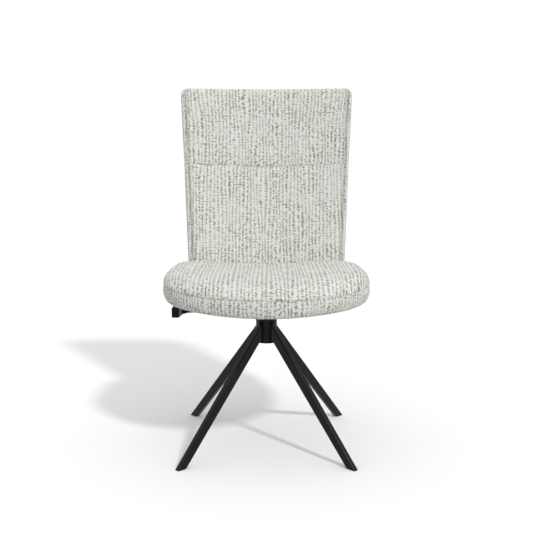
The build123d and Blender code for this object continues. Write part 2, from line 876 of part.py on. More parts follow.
board_middle = max(hollow(along) + board_rear_depth(along) for along in (0, bar_length))
bar_depth = board_middle + face_gap + bar_thickness / 2
bar_height = board_underside - bar_thickness / 2
bar_corner = (bar_height - seat_underside + bar_depth * recline_sin) / recline_cos
bar_bend_end = bar_corner + bar_bend * math.tan(math.radians(90 - recline) / 2)


def bar_solid(grow):
    """The bent bar, or with some growth the room that it needs in the upholstery."""
    bend_depth = back_foot + bar_corner * recline_sin + bar_depth * recline_cos
    end_along = bar_length + grow
    end = (
        back_foot + end_along * recline_sin + bar_depth * recline_cos,
        seat_underside + end_along * recline_cos - bar_depth * recline_sin,
    )
    with BuildPart() as bar:
        with BuildSketch(side(-bar_width / 2 - grow)):
            with BuildLine():
                FilletPolyline(
                    (bar_start - grow, bar_height), (bend_depth, bar_height), end, radius=bar_bend
                )
            trace(line_width=bar_thickness + 2 * grow)
        extrude(amount=bar_width + 2 * grow)
    return bar


with BuildPart() as back_bar:
    add(bar_solid(0).part)
    with BuildSketch(level(bar_underside)):
        with Locations(*bar_screws):
            Circle(screw_radius + hole_clearance)
    extrude(amount=bar_thickness, mode=Mode.SUBTRACT)
    with BuildSketch(behind(bar_depth - bar_thickness)):
        with Locations(*back_screws):
            Circle(screw_radius + hole_clearance)
    extrude(amount=2 * bar_thickness, mode=Mode.SUBTRACT)
write("back_bar", back_bar)

# ---- Back board and its screws ----------------------------------------------------------

back_board_start = bar_bend_end + back_board_gap
back_board_end = back_length - back_board_inset
board_blank = back_slice(
    axis_depth, back_board_start, back_board_end, back_board_inset, 0, foam_depth, board_rear_depth
)
nut_faces = {
    place: hollow(place[1]) + foam_depth(place[1]) - sagitta(place[0], place[1]) + face_gap
    for place in back_screws
}
with BuildPart() as back_board:
    add(board_blank.part)
    for place, nut_face in nut_faces.items():
        with BuildSketch(behind(nut_face - 2 * nut_flange)):
            with Locations(place):
                Circle(nut_flange_radius + face_gap)
        extrude(amount=3 * nut_flange, mode=Mode.SUBTRACT)
        with BuildSketch(behind(nut_face)):
            with Locations(place):
                Circle(nut_barrel_radius + face_gap)
        extrude(amount=2 * back_board_thickness, mode=Mode.SUBTRACT)
write("back_board", back_board)

with BuildPart() as back_tee_nuts:
    for place, nut_face in nut_faces.items():
        with BuildSketch(behind(nut_face)):
            with Locations(place):
                Circle(nut_flange_radius)
                Circle(screw_radius + running, mode=Mode.SUBTRACT)
        extrude(amount=nut_flange)
        with BuildSketch(behind(nut_face + nut_flange)):
            with Locations(place):
                Circle(nut_barrel_radius)
                Circle(screw_radius + running, mode=Mode.SUBTRACT)
        extrude(amount=back_board_thickness - nut_flange - nut_end)
write("back_tee_nuts", back_tee_nuts)

bar_rear = bar_depth + bar_thickness / 2
with BuildPart() as back_board_screws:
    with BuildSketch(behind(bar_rear)):
        with Locations(*back_screws):
            Circle(screw_head_radius)
    extrude(amount=screw_head)
    for place, nut_face in nut_faces.items():
        with BuildSketch(behind(nut_face)):
            with Locations(place):
                Circle(screw_radius)
        extrude(amount=bar_rear - nut_face)
write("back_board_screws", back_board_screws)

# ---- Upholstery: seat cushion, back cushion and the panel behind it -----------------------

bar_room = bar_solid(soft_gap)

with BuildPart() as screw_room:
    with BuildSketch(behind(bar_depth)):
        with Locations(*back_screws):
            Circle(screw_head_radius + soft_gap)
    extrude(amount=bar_thickness / 2 + screw_head + soft_gap)

back_room = back_slice(
    axis_depth,
    -2 * bar_bend,
    bar_length,
    -2 * soft_gap,
    0,
    lambda along: -soft_gap,
    full_depth,
)

with BuildPart() as seat_cushion:
    add(seat_slab(0, 2 * seat_rear, seat_underside, seat_top).part)
    fillet(seat_cushion.edges().group_by(Axis.Z)[-1], seat_upper_round)
    fillet(seat_cushion.edges().group_by(Axis.Z)[0], seat_lower_round)
    add(back_room.part, mode=Mode.SUBTRACT)
    pocket = seat_slab(
        board_inset - soft_gap, board_rear + soft_gap, seat_underside - 1, board_top + soft_gap
    )
    add(pocket.part, mode=Mode.SUBTRACT)
    add(bar_room.part, mode=Mode.SUBTRACT)
write("seat_cushion", seat_cushion)

board_room = back_slice(
    axis_depth,
    -2 * bar_bend,
    back_board_end + soft_gap,
    back_board_inset - soft_gap,
    0,
    lambda along: foam_depth(along) - soft_gap,
    lambda along: full_depth(along) + back_edge_round,
)
with BuildPart() as back_cushion:
    add(back_form(axis_depth).part)
    add(board_room.part, mode=Mode.SUBTRACT)
    add(bar_room.part, mode=Mode.SUBTRACT)
write("back_cushion", back_cushion)

panel_blank = back_slice(
    axis_depth,
    -bar_bend,
    back_board_end,
    back_board_inset,
    0,
    lambda along: board_rear_depth(along) + soft_gap,
    full_depth,
)
with BuildPart() as back_panel:
    add(panel_blank.part)
    split(bisect_by=Plane.XY.offset(seat_underside), keep=Keep.TOP)
    add(bar_room.part, mode=Mode.SUBTRACT)
    add(screw_room.part, mode=Mode.SUBTRACT)
write("back_panel", back_panel)

print("swivel axis at Y", round(axis_depth, 3))
print("tilt pivot at Y", round(axis_depth + pivot_depth, 3), "Z", pivot_height)
print("lever rod at Y", round(axis_depth + lever_depth, 3), "Z", lever_height)
print("clamp travel", round(clamp_travel, 4), "over", lever_angle, "degrees")
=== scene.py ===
# %% [markdown]
# # A swivel dining chair
#
# The chair comes as a packed CAD model: four black tube legs on a short hub, a tilting
# mechanism, a rounded seat and a tall, hollow back. The metal and plastic parts already
# have the right shape and only need a finish. The upholstery is made here, because a real
# cushion is rounder, seamed and ribbed. All lengths are in metres, in the CAD's own frame,
# so every piece goes where the CAD says.

# %% Load the packed chair
import json
import math

import bpy
import numpy as np
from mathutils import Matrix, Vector

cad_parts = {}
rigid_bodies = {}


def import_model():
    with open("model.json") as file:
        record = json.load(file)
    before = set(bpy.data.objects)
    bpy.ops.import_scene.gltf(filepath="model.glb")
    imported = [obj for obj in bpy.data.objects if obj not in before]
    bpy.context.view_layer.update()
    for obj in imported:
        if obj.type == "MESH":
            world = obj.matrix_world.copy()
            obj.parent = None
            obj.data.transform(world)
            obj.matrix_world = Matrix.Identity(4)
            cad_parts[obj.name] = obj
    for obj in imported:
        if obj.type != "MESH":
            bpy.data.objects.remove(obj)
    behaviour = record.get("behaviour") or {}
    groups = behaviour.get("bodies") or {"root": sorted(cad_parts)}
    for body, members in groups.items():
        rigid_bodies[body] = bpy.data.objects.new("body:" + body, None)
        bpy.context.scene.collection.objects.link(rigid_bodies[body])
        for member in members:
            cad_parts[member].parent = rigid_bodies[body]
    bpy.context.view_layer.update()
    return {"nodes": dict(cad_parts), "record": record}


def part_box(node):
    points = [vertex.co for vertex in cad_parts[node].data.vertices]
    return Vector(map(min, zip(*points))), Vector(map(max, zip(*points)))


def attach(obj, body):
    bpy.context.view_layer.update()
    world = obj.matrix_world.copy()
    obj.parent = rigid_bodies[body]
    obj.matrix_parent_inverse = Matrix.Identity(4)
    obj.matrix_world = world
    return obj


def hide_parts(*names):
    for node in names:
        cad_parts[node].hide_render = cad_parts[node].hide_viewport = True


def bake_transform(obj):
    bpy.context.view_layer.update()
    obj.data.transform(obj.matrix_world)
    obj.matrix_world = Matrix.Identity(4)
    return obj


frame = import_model()
nodes = frame["nodes"]
joints = {joint["name"]: joint for joint in frame["record"]["behaviour"]["joints"]}
axis_depth = joints["swivel"]["pos_m"][1]

# %% [markdown]
# ## Camera
#
# The picture was taken from the front, a little above the seat, with a short tele lens.
# The camera was fitted to the four feet, so its place is known in the chair's own frame.
# A fitted camera comes first.

# %% Camera
camera_distance = 2.29403
camera_height = 0.822618
camera_drop = 8.142

camera_data = bpy.data.cameras.new("camera")
camera_data.sensor_width = 36.0
camera_data.lens = 57.106
camera = bpy.data.objects.new("camera", camera_data)
bpy.context.collection.objects.link(camera)
camera.location = (0.0, axis_depth - camera_distance, camera_height)
camera.rotation_euler = (math.radians(90 - camera_drop), 0, 0)
bpy.context.scene.camera = camera
print("camera at", tuple(round(v, 3) for v in camera.location))

# %% [markdown]
# ## Wiring shader nodes
#
# A material is a small network of nodes, and so is the light of the world. Typing out every
# node and link hides the idea, so one helper adds a node and feeds it numbers or sockets.
# Effects that several materials use become node groups with named inputs and outputs, built
# once.

# %% Helper that wires shader nodes
class Wiring:
    """Adds nodes to a tree. A value that is fed in is a number, a colour or a socket."""

    def __init__(self, tree):
        self.tree = tree

    def put(self, kind, feeds=None, **settings):
        node = self.tree.nodes.new(kind)
        for name, value in settings.items():
            setattr(node, name, value)
        for name, value in (feeds or {}).items():
            self.feed(node.inputs[name], value)
        return node

    def feed(self, socket, value):
        if isinstance(value, bpy.types.NodeSocket):
            self.tree.links.new(value, socket)
        else:
            socket.default_value = value

    def math(self, operation, *values):
        node = self.put("ShaderNodeMath", operation=operation)
        for socket, value in zip(node.inputs, values):
            self.feed(socket, value)
        return node.outputs[0]

    def times(self, product, *values):
        for value in values:
            product = self.math("MULTIPLY", product, value)
        return product

    def plus(self, total, *values):
        for value in values:
            total = self.math("ADD", total, value)
        return total

    def ease(self, value, low, high, start=0.0, end=1.0, kind="SMOOTHSTEP"):
        """Goes from start to end as the value goes from low to high."""
        feeds = {"Value": value, "From Min": low, "From Max": high, "To Min": start, "To Max": end}
        return self.put("ShaderNodeMapRange", feeds, interpolation_type=kind).outputs["Result"]

    def noise(self, place, scale, detail=2.0):
        feeds = {"Vector": place, "Scale": scale, "Detail": detail}
        return self.put("ShaderNodeTexNoise", feeds).outputs["Fac"]

    def space(self):
        """Places in the chair's own frame."""
        return self.put("ShaderNodeTexCoord").outputs["Object"]

    def colours(self, share, first, second):
        node = self.put("ShaderNodeMix", data_type="RGBA")
        for place, value in ((0, share), (6, first), (7, second)):
            self.feed(node.inputs[place], value)
        return node.outputs[2]

    def vector(self, x, y, z):
        return self.put("ShaderNodeCombineXYZ", {"X": x, "Y": y, "Z": z}).outputs[0]


print("a wiring can", [name for name in vars(Wiring) if name[0] != "_"])

# %% Node groups and materials


def node_group(name, inputs, outputs):
    """A shader node group with its sockets, and the wiring for what goes inside."""
    tree = bpy.data.node_groups.new(name, "ShaderNodeTree")
    for socket_name, kind, default in inputs:
        socket = tree.interface.new_socket(socket_name, in_out="INPUT", socket_type="NodeSocket" + kind)
        if default is not None:
            socket.default_value = default
    for socket_name, kind in outputs:
        tree.interface.new_socket(socket_name, in_out="OUTPUT", socket_type="NodeSocket" + kind)
    wiring = Wiring(tree)
    return tree, wiring, wiring.put("NodeGroupInput").outputs, wiring.put("NodeGroupOutput").inputs


def finish(name, **constants):
    """A material whose plain numbers are set on its own Principled shader."""
    material = bpy.data.materials.new(name)
    material.use_nodes = True
    shader = material.node_tree.nodes["Principled BSDF"]
    for socket_name, value in constants.items():
        shader.inputs[socket_name.replace("_", " ")].default_value = value
    return material, Wiring(material.node_tree), shader


def add_bump(wire, shader, height, depth, strength=1.0):
    """Turns a height into the shader's normal. The depth is in metres."""
    bump = wire.put("ShaderNodeBump", {"Height": height, "Distance": depth, "Strength": strength})
    wire.feed(shader.inputs["Normal"], bump.outputs["Normal"])


print("node groups and finishes ready")

# %% [markdown]
# ## Studio light and floor
#
# The photograph has a white floor and backdrop, and one clear, light grey shadow that falls
# to the left and back. A sun lamp from the front right gives that shadow, and a white world
# fills the rest, a little stronger from above. The world is dimmer as a light than as a
# backdrop, so that the shadow keeps its tone while the backdrop stays white. Black metal
# shows mostly what it mirrors, so mirrored rays see a studio of their own: bright walls at
# the sides and the far end, a dark ring round the camera and a weaker light behind it.

# %% Sun lamp
scene = bpy.context.scene
scene.view_settings.view_transform = "Standard"

sun_data = bpy.data.lights.new("key", "SUN")
sun_data.energy = 1.25
sun_data.angle = math.radians(6.0)
sun = bpy.data.objects.new("key", sun_data)
bpy.context.collection.objects.link(sun)
light_travel = Vector((-0.27, 0.38, -0.44))
sun.rotation_euler = light_travel.to_track_quat("-Z", "Y").to_euler()
print("sun energy", sun_data.energy)

# %% World
white = (1.0, 1.0, 1.0, 1.0)
fill_from_below, fill_from_above = 0.61, 0.79
wall_edge, wall_strength = (-0.42, 0.10), 0.50
camera_light_edge, camera_light_strength = (-0.58, -1.04), 0.42

world = bpy.data.worlds.new("studio")
scene.world = world
world.use_nodes = True
world.node_tree.nodes.clear()
sky = Wiring(world.node_tree)
rays = sky.put("ShaderNodeLightPath").outputs
towards = sky.put("ShaderNodeTexCoord").outputs["Generated"]
direction = sky.put("ShaderNodeSeparateXYZ", {0: towards}).outputs
overhead = sky.ease(direction["Z"], -0.3, 0.5, fill_from_below, fill_from_above, "LINEAR")
behind_camera = sky.ease(direction["Y"], *camera_light_edge, end=camera_light_strength)
walls = sky.ease(direction["Y"], *wall_edge, end=wall_strength)
by_ray = {"Factor": rays["Is Glossy Ray"], "A": overhead, "B": sky.plus(behind_camera, walls)}
strength = sky.put("ShaderNodeMix", by_ray).outputs["Result"]
fill = sky.put("ShaderNodeBackground", {"Color": white, "Strength": strength}).outputs[0]
backdrop = sky.put("ShaderNodeBackground", {"Color": white}).outputs[0]
either = sky.put("ShaderNodeMixShader", {0: rays["Is Camera Ray"], 1: fill, 2: backdrop}).outputs[0]
sky.put("ShaderNodeOutputWorld", {0: either})
print("world of", len(world.node_tree.nodes), "nodes")

# %% Floor


def mesh_piece(name, points, faces, material):
    """A smooth mesh object from arrays of points and faces."""
    mesh = bpy.data.meshes.new(name)
    mesh.from_pydata([tuple(p) for p in points], [], [tuple(int(i) for i in f) for f in faces])
    mesh.update()
    mesh.shade_smooth()
    mesh.materials.append(material)
    piece = bpy.data.objects.new(name, mesh)
    bpy.context.collection.objects.link(piece)
    return piece


floor_paint = finish("floor_paint", Base_Color=white, Roughness=0.9, Specular_IOR_Level=0.0)[0]
floor_reach = 14.0
floor_corners = [(x * floor_reach, y * floor_reach, 0) for x, y in ((-1, -1), (1, -1), (1, 1), (-1, 1))]
floor = mesh_piece("floor", floor_corners, [(0, 1, 2, 3)], floor_paint)
floor.visible_diffuse = False
print("floor of", 2 * floor_reach, "m")

# %% [markdown]
# ## Chenille
#
# The fabric is a chunky off-white chenille. Soft ribs 11 mm apart run down the back, fore
# and aft over the seat and down its border. Between the ribs lies a thinner taupe yarn that
# comes and goes in short dashes and now and then crosses a rib. The ribs must follow each
# cut panel, so the meshes carry a place on the cloth, across and along the ribs, and the
# shader works in that place instead of in space. Each groove gets its own run of noise for
# its dashes, which is what makes the pattern look woven and not printed. Along a seam the
# cloth is darkened as painted shade, so the meshes carry that share as well.

# %% Sockets of the chenille group
rib_pitch = 0.0110
row_pitch = 0.0088
wobble_scale, dash_scale, bead_scale, link_scale, patch_scale = 165.0, 84.0, 250.0, 210.0, 17.0
fibre_scale, tuft_scale = 620.0, 270.0

chenille, wire, given, result = node_group(
    "chenille",
    [
        ("Cloth place", "Vector", None),
        ("Rib pitch", "Float", rib_pitch),
        ("Rib yarn", "Color", (0.842, 0.849, 0.812, 1)),
        ("Groove shade", "Color", (0.500, 0.500, 0.455, 1)),
        ("Dash yarn", "Color", (0.288, 0.256, 0.203, 1)),
        ("Pressed pile", "Color", (0.230, 0.228, 0.210, 1)),
        ("Dashes", "Float", 1.0),
        ("Sewn", "Float", 0.0),
    ],
    [("Color", "Color"), ("Height", "Float")],
)
place = given["Cloth place"]
cloth_x, cloth_y, cut_piece = wire.put("ShaderNodeSeparateXYZ", {0: place}).outputs
print("chenille takes", [socket.name for socket in given if socket.name])

# %% Dashes of yarn in the grooves
column = wire.math("DIVIDE", cloth_x, given["Rib pitch"])
groove = wire.math("ROUND", column)
run = wire.vector(wire.times(groove, 0.371), cloth_y, cut_piece)
other_run = wire.vector(wire.times(groove, 0.613), cloth_y, wire.plus(cut_piece, 5.3))
wobble = wire.times(wire.math("SUBTRACT", wire.noise(other_run, wobble_scale, 1.0), 0.5), 0.86)
off_groove = wire.math("ABSOLUTE", wire.plus(wire.math("SUBTRACT", column, groove), wobble))
present = wire.ease(wire.noise(run, dash_scale, 1.0), 0.32, 0.44)
bead = wire.ease(wire.noise(run, bead_scale, 0.0), 0.42, 0.54)
half_wide = wire.math("MULTIPLY_ADD", bead, 0.23, 0.13)
in_groove = wire.ease(off_groove, 0.06, half_wide, 1.0, 0.0)
bead_strength = wire.math("MULTIPLY_ADD", bead, 0.88, 0.12)
dash = wire.times(in_groove, bead_strength, present)
print("grooves wired with", len(chenille.nodes), "nodes")

# %% Yarn that crosses a rib
row = wire.math("DIVIDE", wire.math("MULTIPLY_ADD", wobble, 0.004, cloth_y), row_pitch)
row_index = wire.math("ROUND", row)
off_row = wire.math("ABSOLUTE", wire.math("SUBTRACT", row, row_index))
rib = wire.math("FLOOR", column)
cell = wire.vector(wire.times(rib, 0.7), wire.times(row_index, 3.71), wire.times(cut_piece, 9.0))
chosen = wire.ease(wire.noise(cell, 1.0, 0.0), 0.55, 0.63)
thread = wire.ease(off_row, 0.05, 0.27, 1.0, 0.0)
unbroken = wire.ease(wire.noise(place, link_scale, 0.0), 0.38, 0.54)
link = wire.times(chosen, thread, unbroken)
patch = wire.ease(wire.noise(place, patch_scale, 2.0), 0.36, 0.58, 0.55, 1.0)
marks = wire.math("MAXIMUM", dash, wire.times(link, 0.85))
marks = wire.times(marks, patch, given["Dashes"])
print("crossing yarn wired with", len(chenille.nodes), "nodes")

# %% Pile of the ribs
# Painted shade between the ribs, and random darker fibres and tufts, blend towards one darker colour
shade = wire.ease(off_groove, 0.02, 0.34, 0.22, 0.0)
fibre = wire.noise(place, fibre_scale, 3.0)
tuft = wire.noise(place, tuft_scale, 1.0)
ground = given["Rib yarn"]
for share in (shade, wire.ease(fibre, 0.3, 0.7, 0.28, 0.0), wire.ease(tuft, 0.3, 0.6, 0.52, 0.0)):
    ground = wire.colours(share, ground, given["Groove shade"])
cloth_colour = wire.colours(marks, ground, given["Dash yarn"])
# The seam share blends the cloth towards a painted shade colour along the seams
wire.feed(result["Color"], wire.colours(given["Sewn"], cloth_colour, given["Pressed pile"]))
rib_height = wire.ease(off_groove, 0.0, 0.42)
wire.feed(result["Height"], wire.plus(rib_height, wire.times(fibre, 0.5), wire.times(tuft, 0.6)))
print("chenille group has", len(chenille.nodes), "nodes")

# %% Chenille materials


def chenille_material(name, dashes):
    """The fabric of one piece, which reads its place on the cloth from the mesh."""
    material, wire, shader = finish(
        name, Roughness=0.92, Specular_IOR_Level=0.2, Sheen_Weight=0.25, Sheen_Roughness=0.6
    )
    feeds = {
        "Cloth place": wire.put("ShaderNodeAttribute", attribute_name="cloth").outputs["Vector"],
        "Sewn": wire.put("ShaderNodeAttribute", attribute_name="sewn").outputs["Fac"],
        "Dashes": dashes,
    }
    weave = wire.put("ShaderNodeGroup", feeds, node_tree=chenille)
    wire.feed(shader.inputs["Base Color"], weave.outputs["Color"])
    add_bump(wire, shader, weave.outputs["Height"], depth=0.0011, strength=0.8)
    return material


seat_fabric = chenille_material("seat_chenille", dashes=1.28)
back_fabric = chenille_material("back_chenille", dashes=1.12)
panel_fabric = chenille_material("rear_chenille", dashes=1.12)
print("fabric on", seat_fabric.name, back_fabric.name, panel_fabric.name)

# %% [markdown]
# ## Lattices for the cushions
#
# Each cushion starts as the lattice of a box: rows and columns over six sides. A formula
# moves every lattice point to its place, and because the rows are known, some of them can
# lie exactly on the seams. That is what a voxel remesh of the CAD solid would lose.

# %% Box lattice


def box_lattice(across, deep, tall):
    """Lattice steps over a box's surface, its quads, and the side that each quad lies on."""
    numbers = {}
    quads = []
    sides = []

    def corner(*step):
        return numbers.setdefault(step, len(numbers))

    def patch(side, first, second, lift):
        for i in range(first):
            for j in range(second):
                quads.append([corner(*lift(i + a, j + b)) for a, b in ((0, 0), (1, 0), (1, 1), (0, 1))])
                sides.append(side)

    patch("top", across, deep, lambda i, j: (i, j, tall))
    patch("bottom", deep, across, lambda i, j: (j, i, 0))
    patch("front", across, tall, lambda i, j: (i, 0, j))
    patch("rear", tall, across, lambda i, j: (j, deep, i))
    patch("right", tall, deep, lambda i, j: (0, j, i))
    patch("left", deep, tall, lambda i, j: (across, i, j))
    return np.array(list(numbers)), np.array(quads), np.array(sides)


def quarter_round(a, b):
    """Bends a square to a disc, so that its corner, at 1 and 1, becomes a quarter circle."""
    return a * np.sqrt(1 - b * b / 2), b * np.sqrt(1 - a * a / 2)


print("a small lattice has", len(box_lattice(2, 2, 2)[1]), "quads")

# %% [markdown]
# ## Stuffing a cushion
#
# A sewn cover pulls the foam down at its seams and lets it swell between them. Blender's
# cloth does the same: the cover is blown up gently with its seam rows pinned. A cap keeps
# each point near the formula's place, so the cushion stays the size of its CAD solid. The
# swollen cover is then subdivided, and what the lattice knew of each point, such as its
# distance to a seam, is stored on the mesh so that the finer points inherit it.

# %% Points of a mesh


def points_of(mesh):
    points = np.empty(len(mesh.vertices) * 3)
    mesh.vertices.foreach_get("co", points)
    return points.reshape(-1, 3)


def move_points(mesh, points):
    mesh.vertices.foreach_set("co", points.ravel())
    mesh.update()


def press_in(mesh, points, depth):
    """Sinks every point along its normal by its own depth, and gives the new points."""
    normals = np.empty(len(points) * 3)
    mesh.vertex_normals.foreach_get("vector", normals)
    points = points - normals.reshape(-1, 3) * depth[:, None]
    move_points(mesh, points)
    return points


def corner_points(mesh):
    """The point at every face corner."""
    corners = np.empty(len(mesh.loops), np.int32)
    mesh.loops.foreach_get("vertex_index", corners)
    return corners


print("the floor has", len(points_of(floor.data)), "points")

# %% Swell a cover between its pinned seams
foam_hold = 0.18
swell_steps = 20
cover_cloth = {
    "quality": 6,
    "mass": 0.4,
    "tension_stiffness": 18,
    "compression_stiffness": 18,
    "shear_stiffness": 8,
    "bending_stiffness": 1.5,
    "use_pressure": True,
    "vertex_group_mass": "held",
}


def swell(piece, pinned, pressure, cap):
    """Cloth pressure with the pinned points held, applied to the mesh."""
    start = points_of(piece.data)
    held = piece.vertex_groups.new(name="held")
    for points, weight in ((pinned, 1.0), (~pinned, foam_hold)):
        held.add(np.nonzero(points)[0].tolist(), weight, "REPLACE")
    cloth = piece.modifiers.new("swell", "CLOTH")
    for name, value in cover_cloth.items():
        setattr(cloth.settings, name, value)
    cloth.settings.uniform_pressure_force = pressure
    cloth.settings.effector_weights.gravity = 0
    cloth.collision_settings.use_collision = False
    for moment in range(1, swell_steps + 1):
        scene.frame_set(moment)
    shown = piece.evaluated_get(bpy.context.evaluated_depsgraph_get())
    moved = points_of(shown.data) - start
    far = np.maximum(np.linalg.norm(moved, axis=1, keepdims=True), 1e-9)
    moved *= np.minimum(1, cap / far)
    piece.modifiers.remove(cloth)
    piece.vertex_groups.remove(held)
    scene.frame_set(1)
    move_points(piece.data, start + moved)
    return float(far.max())


def refine(piece, levels):
    """Applies a subdivision surface and gives the new mesh and its points."""
    surface = piece.modifiers.new("refine", "SUBSURF")
    surface.levels = levels
    surface.render_levels = levels
    shown = piece.evaluated_get(bpy.context.evaluated_depsgraph_get())
    mesh = bpy.data.meshes.new_from_object(shown, depsgraph=bpy.context.evaluated_depsgraph_get())
    old = piece.data
    piece.modifiers.clear()
    piece.data = mesh
    bpy.data.meshes.remove(old)
    mesh.name = piece.name
    mesh.shade_smooth()
    return mesh, points_of(mesh)


print("covers swell in", swell_steps, "steps, held at", foam_hold)

# %% Numbers stored on a mesh


def keep(mesh, name, values, domain="POINT"):
    """Stores a number or a vector for every point, face or face corner."""
    kind, field = ("FLOAT_VECTOR", "vector") if values.ndim == 2 else ("FLOAT", "value")
    layer = mesh.attributes.new(name, kind, domain)
    layer.data.foreach_set(field, values.astype(np.float32).ravel())


def kept(mesh, name):
    """Reads stored numbers back and removes them from the mesh."""
    layer = mesh.attributes[name]
    wide, field = (3, "vector") if layer.data_type == "FLOAT_VECTOR" else (1, "value")
    values = np.empty(len(layer.data) * wide, np.float32)
    layer.data.foreach_get(field, values)
    mesh.attributes.remove(layer)
    return values.astype(float).reshape(-1, wide).squeeze()


def lay_cloth(mesh, places_of):
    """Stores the place on the cloth at every face corner, from its point and its face."""
    faces = np.repeat(np.arange(len(mesh.polygons)), 4)
    keep(mesh, "cloth", places_of(corner_points(mesh), faces), "CORNER")


print("cloth places go on the face corners, the rest on points and faces")

# %% Shapes along a seam or an edge


def smooth_step(value, low, high):
    share = np.clip((value - low) / (high - low), 0, 1)
    return share * share * (3 - 2 * share)


def dent(distance, width):
    """A soft dent, 1 at no distance and gone after about twice the width."""
    return np.exp(-((distance / width) ** 2))


def waves(place, length, seed):
    """Smooth random waves along a seam, from -1 to 1."""
    random = np.random.default_rng(seed)
    total = np.zeros_like(place)
    for octave in range(4):
        turn, lag = random.uniform(0.7, 1.4), random.uniform(0, 6.28)
        total += np.sin(2 * math.pi * place / (length * turn * 0.7 ** octave) + lag)
    return total / 4


print("a dent is", round(float(dent(1.0, 1.0)), 2), "deep one width away")

# %% Ribs of the cloth
rib_depth = 0.0007
wander_wave = 0.026
wander_reach = 0.00040


def wander(across, along):
    """Moves the ribs sideways a little, so that no two ribs are quite alike in width."""
    random = np.random.default_rng(21)
    moved = across.copy()
    for octave in range(7):
        wave_across = wander_wave * 1.28 ** octave * random.uniform(0.85, 1.15)
        wave_along = 0.16 * 1.2 ** octave
        lag = random.uniform(0, 2 * math.pi)
        tilt = random.choice((-1, 1))
        phase = across / wave_across + tilt * along / wave_along
        moved += wander_reach * 1.28 ** octave * np.sin(2 * math.pi * phase + lag)
    return moved


def ridge(across):
    """Depth share of a rib's groove, from 0 on the rib to 1 in the groove."""
    return (0.5 + 0.5 * np.cos(2 * math.pi * across / rib_pitch)) ** 1.5


print("ribs", rib_pitch * 1000, "mm apart,", rib_depth * 1000, "mm deep")

# %% [markdown]
# ## Back
#
# The back is one tall, hollow upholstered form. Its front panel is cut from one width of
# fabric with a seam across it at about three fifths of its height, and it rolls over the
# top edge to the rear. A narrow gusset closes each side, so a seam runs up each edge, about
# 11 mm in from the outline. Plan sections flare towards the top and are bent to the CAD's
# hollow.

# %% Sizes of the back
recline = math.radians(11.0)
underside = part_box("seat_cushion")[0].z
back_foot = 0.209
back_height = 1.0
back_length = (back_height - underside) / math.cos(recline)
half_widths = (0.231, 0.2455, 0.262)
hollows = (0.024, 0.040)
thicknesses = (0.070, 0.050)
gusset_seam = 0.0115
seam_half = 0.0022
cross_seam = 0.379
cross_sag_depth = 0.0045
top_crown, top_corner_drop = 0.0052, 0.0006
edge_round = 0.011
corner_round = 0.024
print("back", round(back_length, 4), "long,", 2 * half_widths[2], "wide at the top")

# %% Form of the back


def between(pair, share):
    return pair[0] + (pair[1] - pair[0]) * share


def back_half(along):
    """Half the back's width, a gentle curve through its foot, middle and top."""
    share = along / back_length
    foot, middle, top = half_widths
    curve = 2 * (foot + top) - 4 * middle
    return foot + (top - foot - curve) * share + curve * share ** 2


def back_thick(along):
    return between(thicknesses, along / back_length)


def back_bend(across, along):
    """Depth of the bent back's front face behind its side edges."""
    hollow = between(hollows, along / back_length)
    radius = (back_half(along) ** 2 + hollow ** 2) / (2 * hollow)
    return hollow - radius + np.sqrt(np.maximum(radius ** 2 - across ** 2, 0))


def top_lift(across, along):
    """The top edge is fuller in the middle and softer at its corners."""
    share = np.clip(along / back_length * 4 - 3, 0, 1) ** 2
    wide = np.abs(across) / half_widths[2]
    crown = top_crown * (1 - np.clip(wide / 0.86, 0, 1) ** 3)
    return share * (crown - top_corner_drop * wide ** 8)


def back_place(across, along, depth):
    """World place of a point given across, along and behind the back's front face."""
    along = along + top_lift(across, along)
    behind = depth + back_bend(across, along)
    y = axis_depth + back_foot + along * math.sin(recline) + behind * math.cos(recline)
    z = underside + along * math.cos(recline) - behind * math.sin(recline)
    return np.stack([across, y, z], axis=-1)


def cross_sag(across, along):
    """The seam across the back hangs a little in its middle."""
    return cross_sag_depth * np.clip(1 - (across / 0.12) ** 2, 0, 1) * dent(along - cross_seam, 0.07)


print("hollow", round(float(back_bend(0.0, back_length)), 3), "m deep at the top")

# %% Lattice of a rounded slab


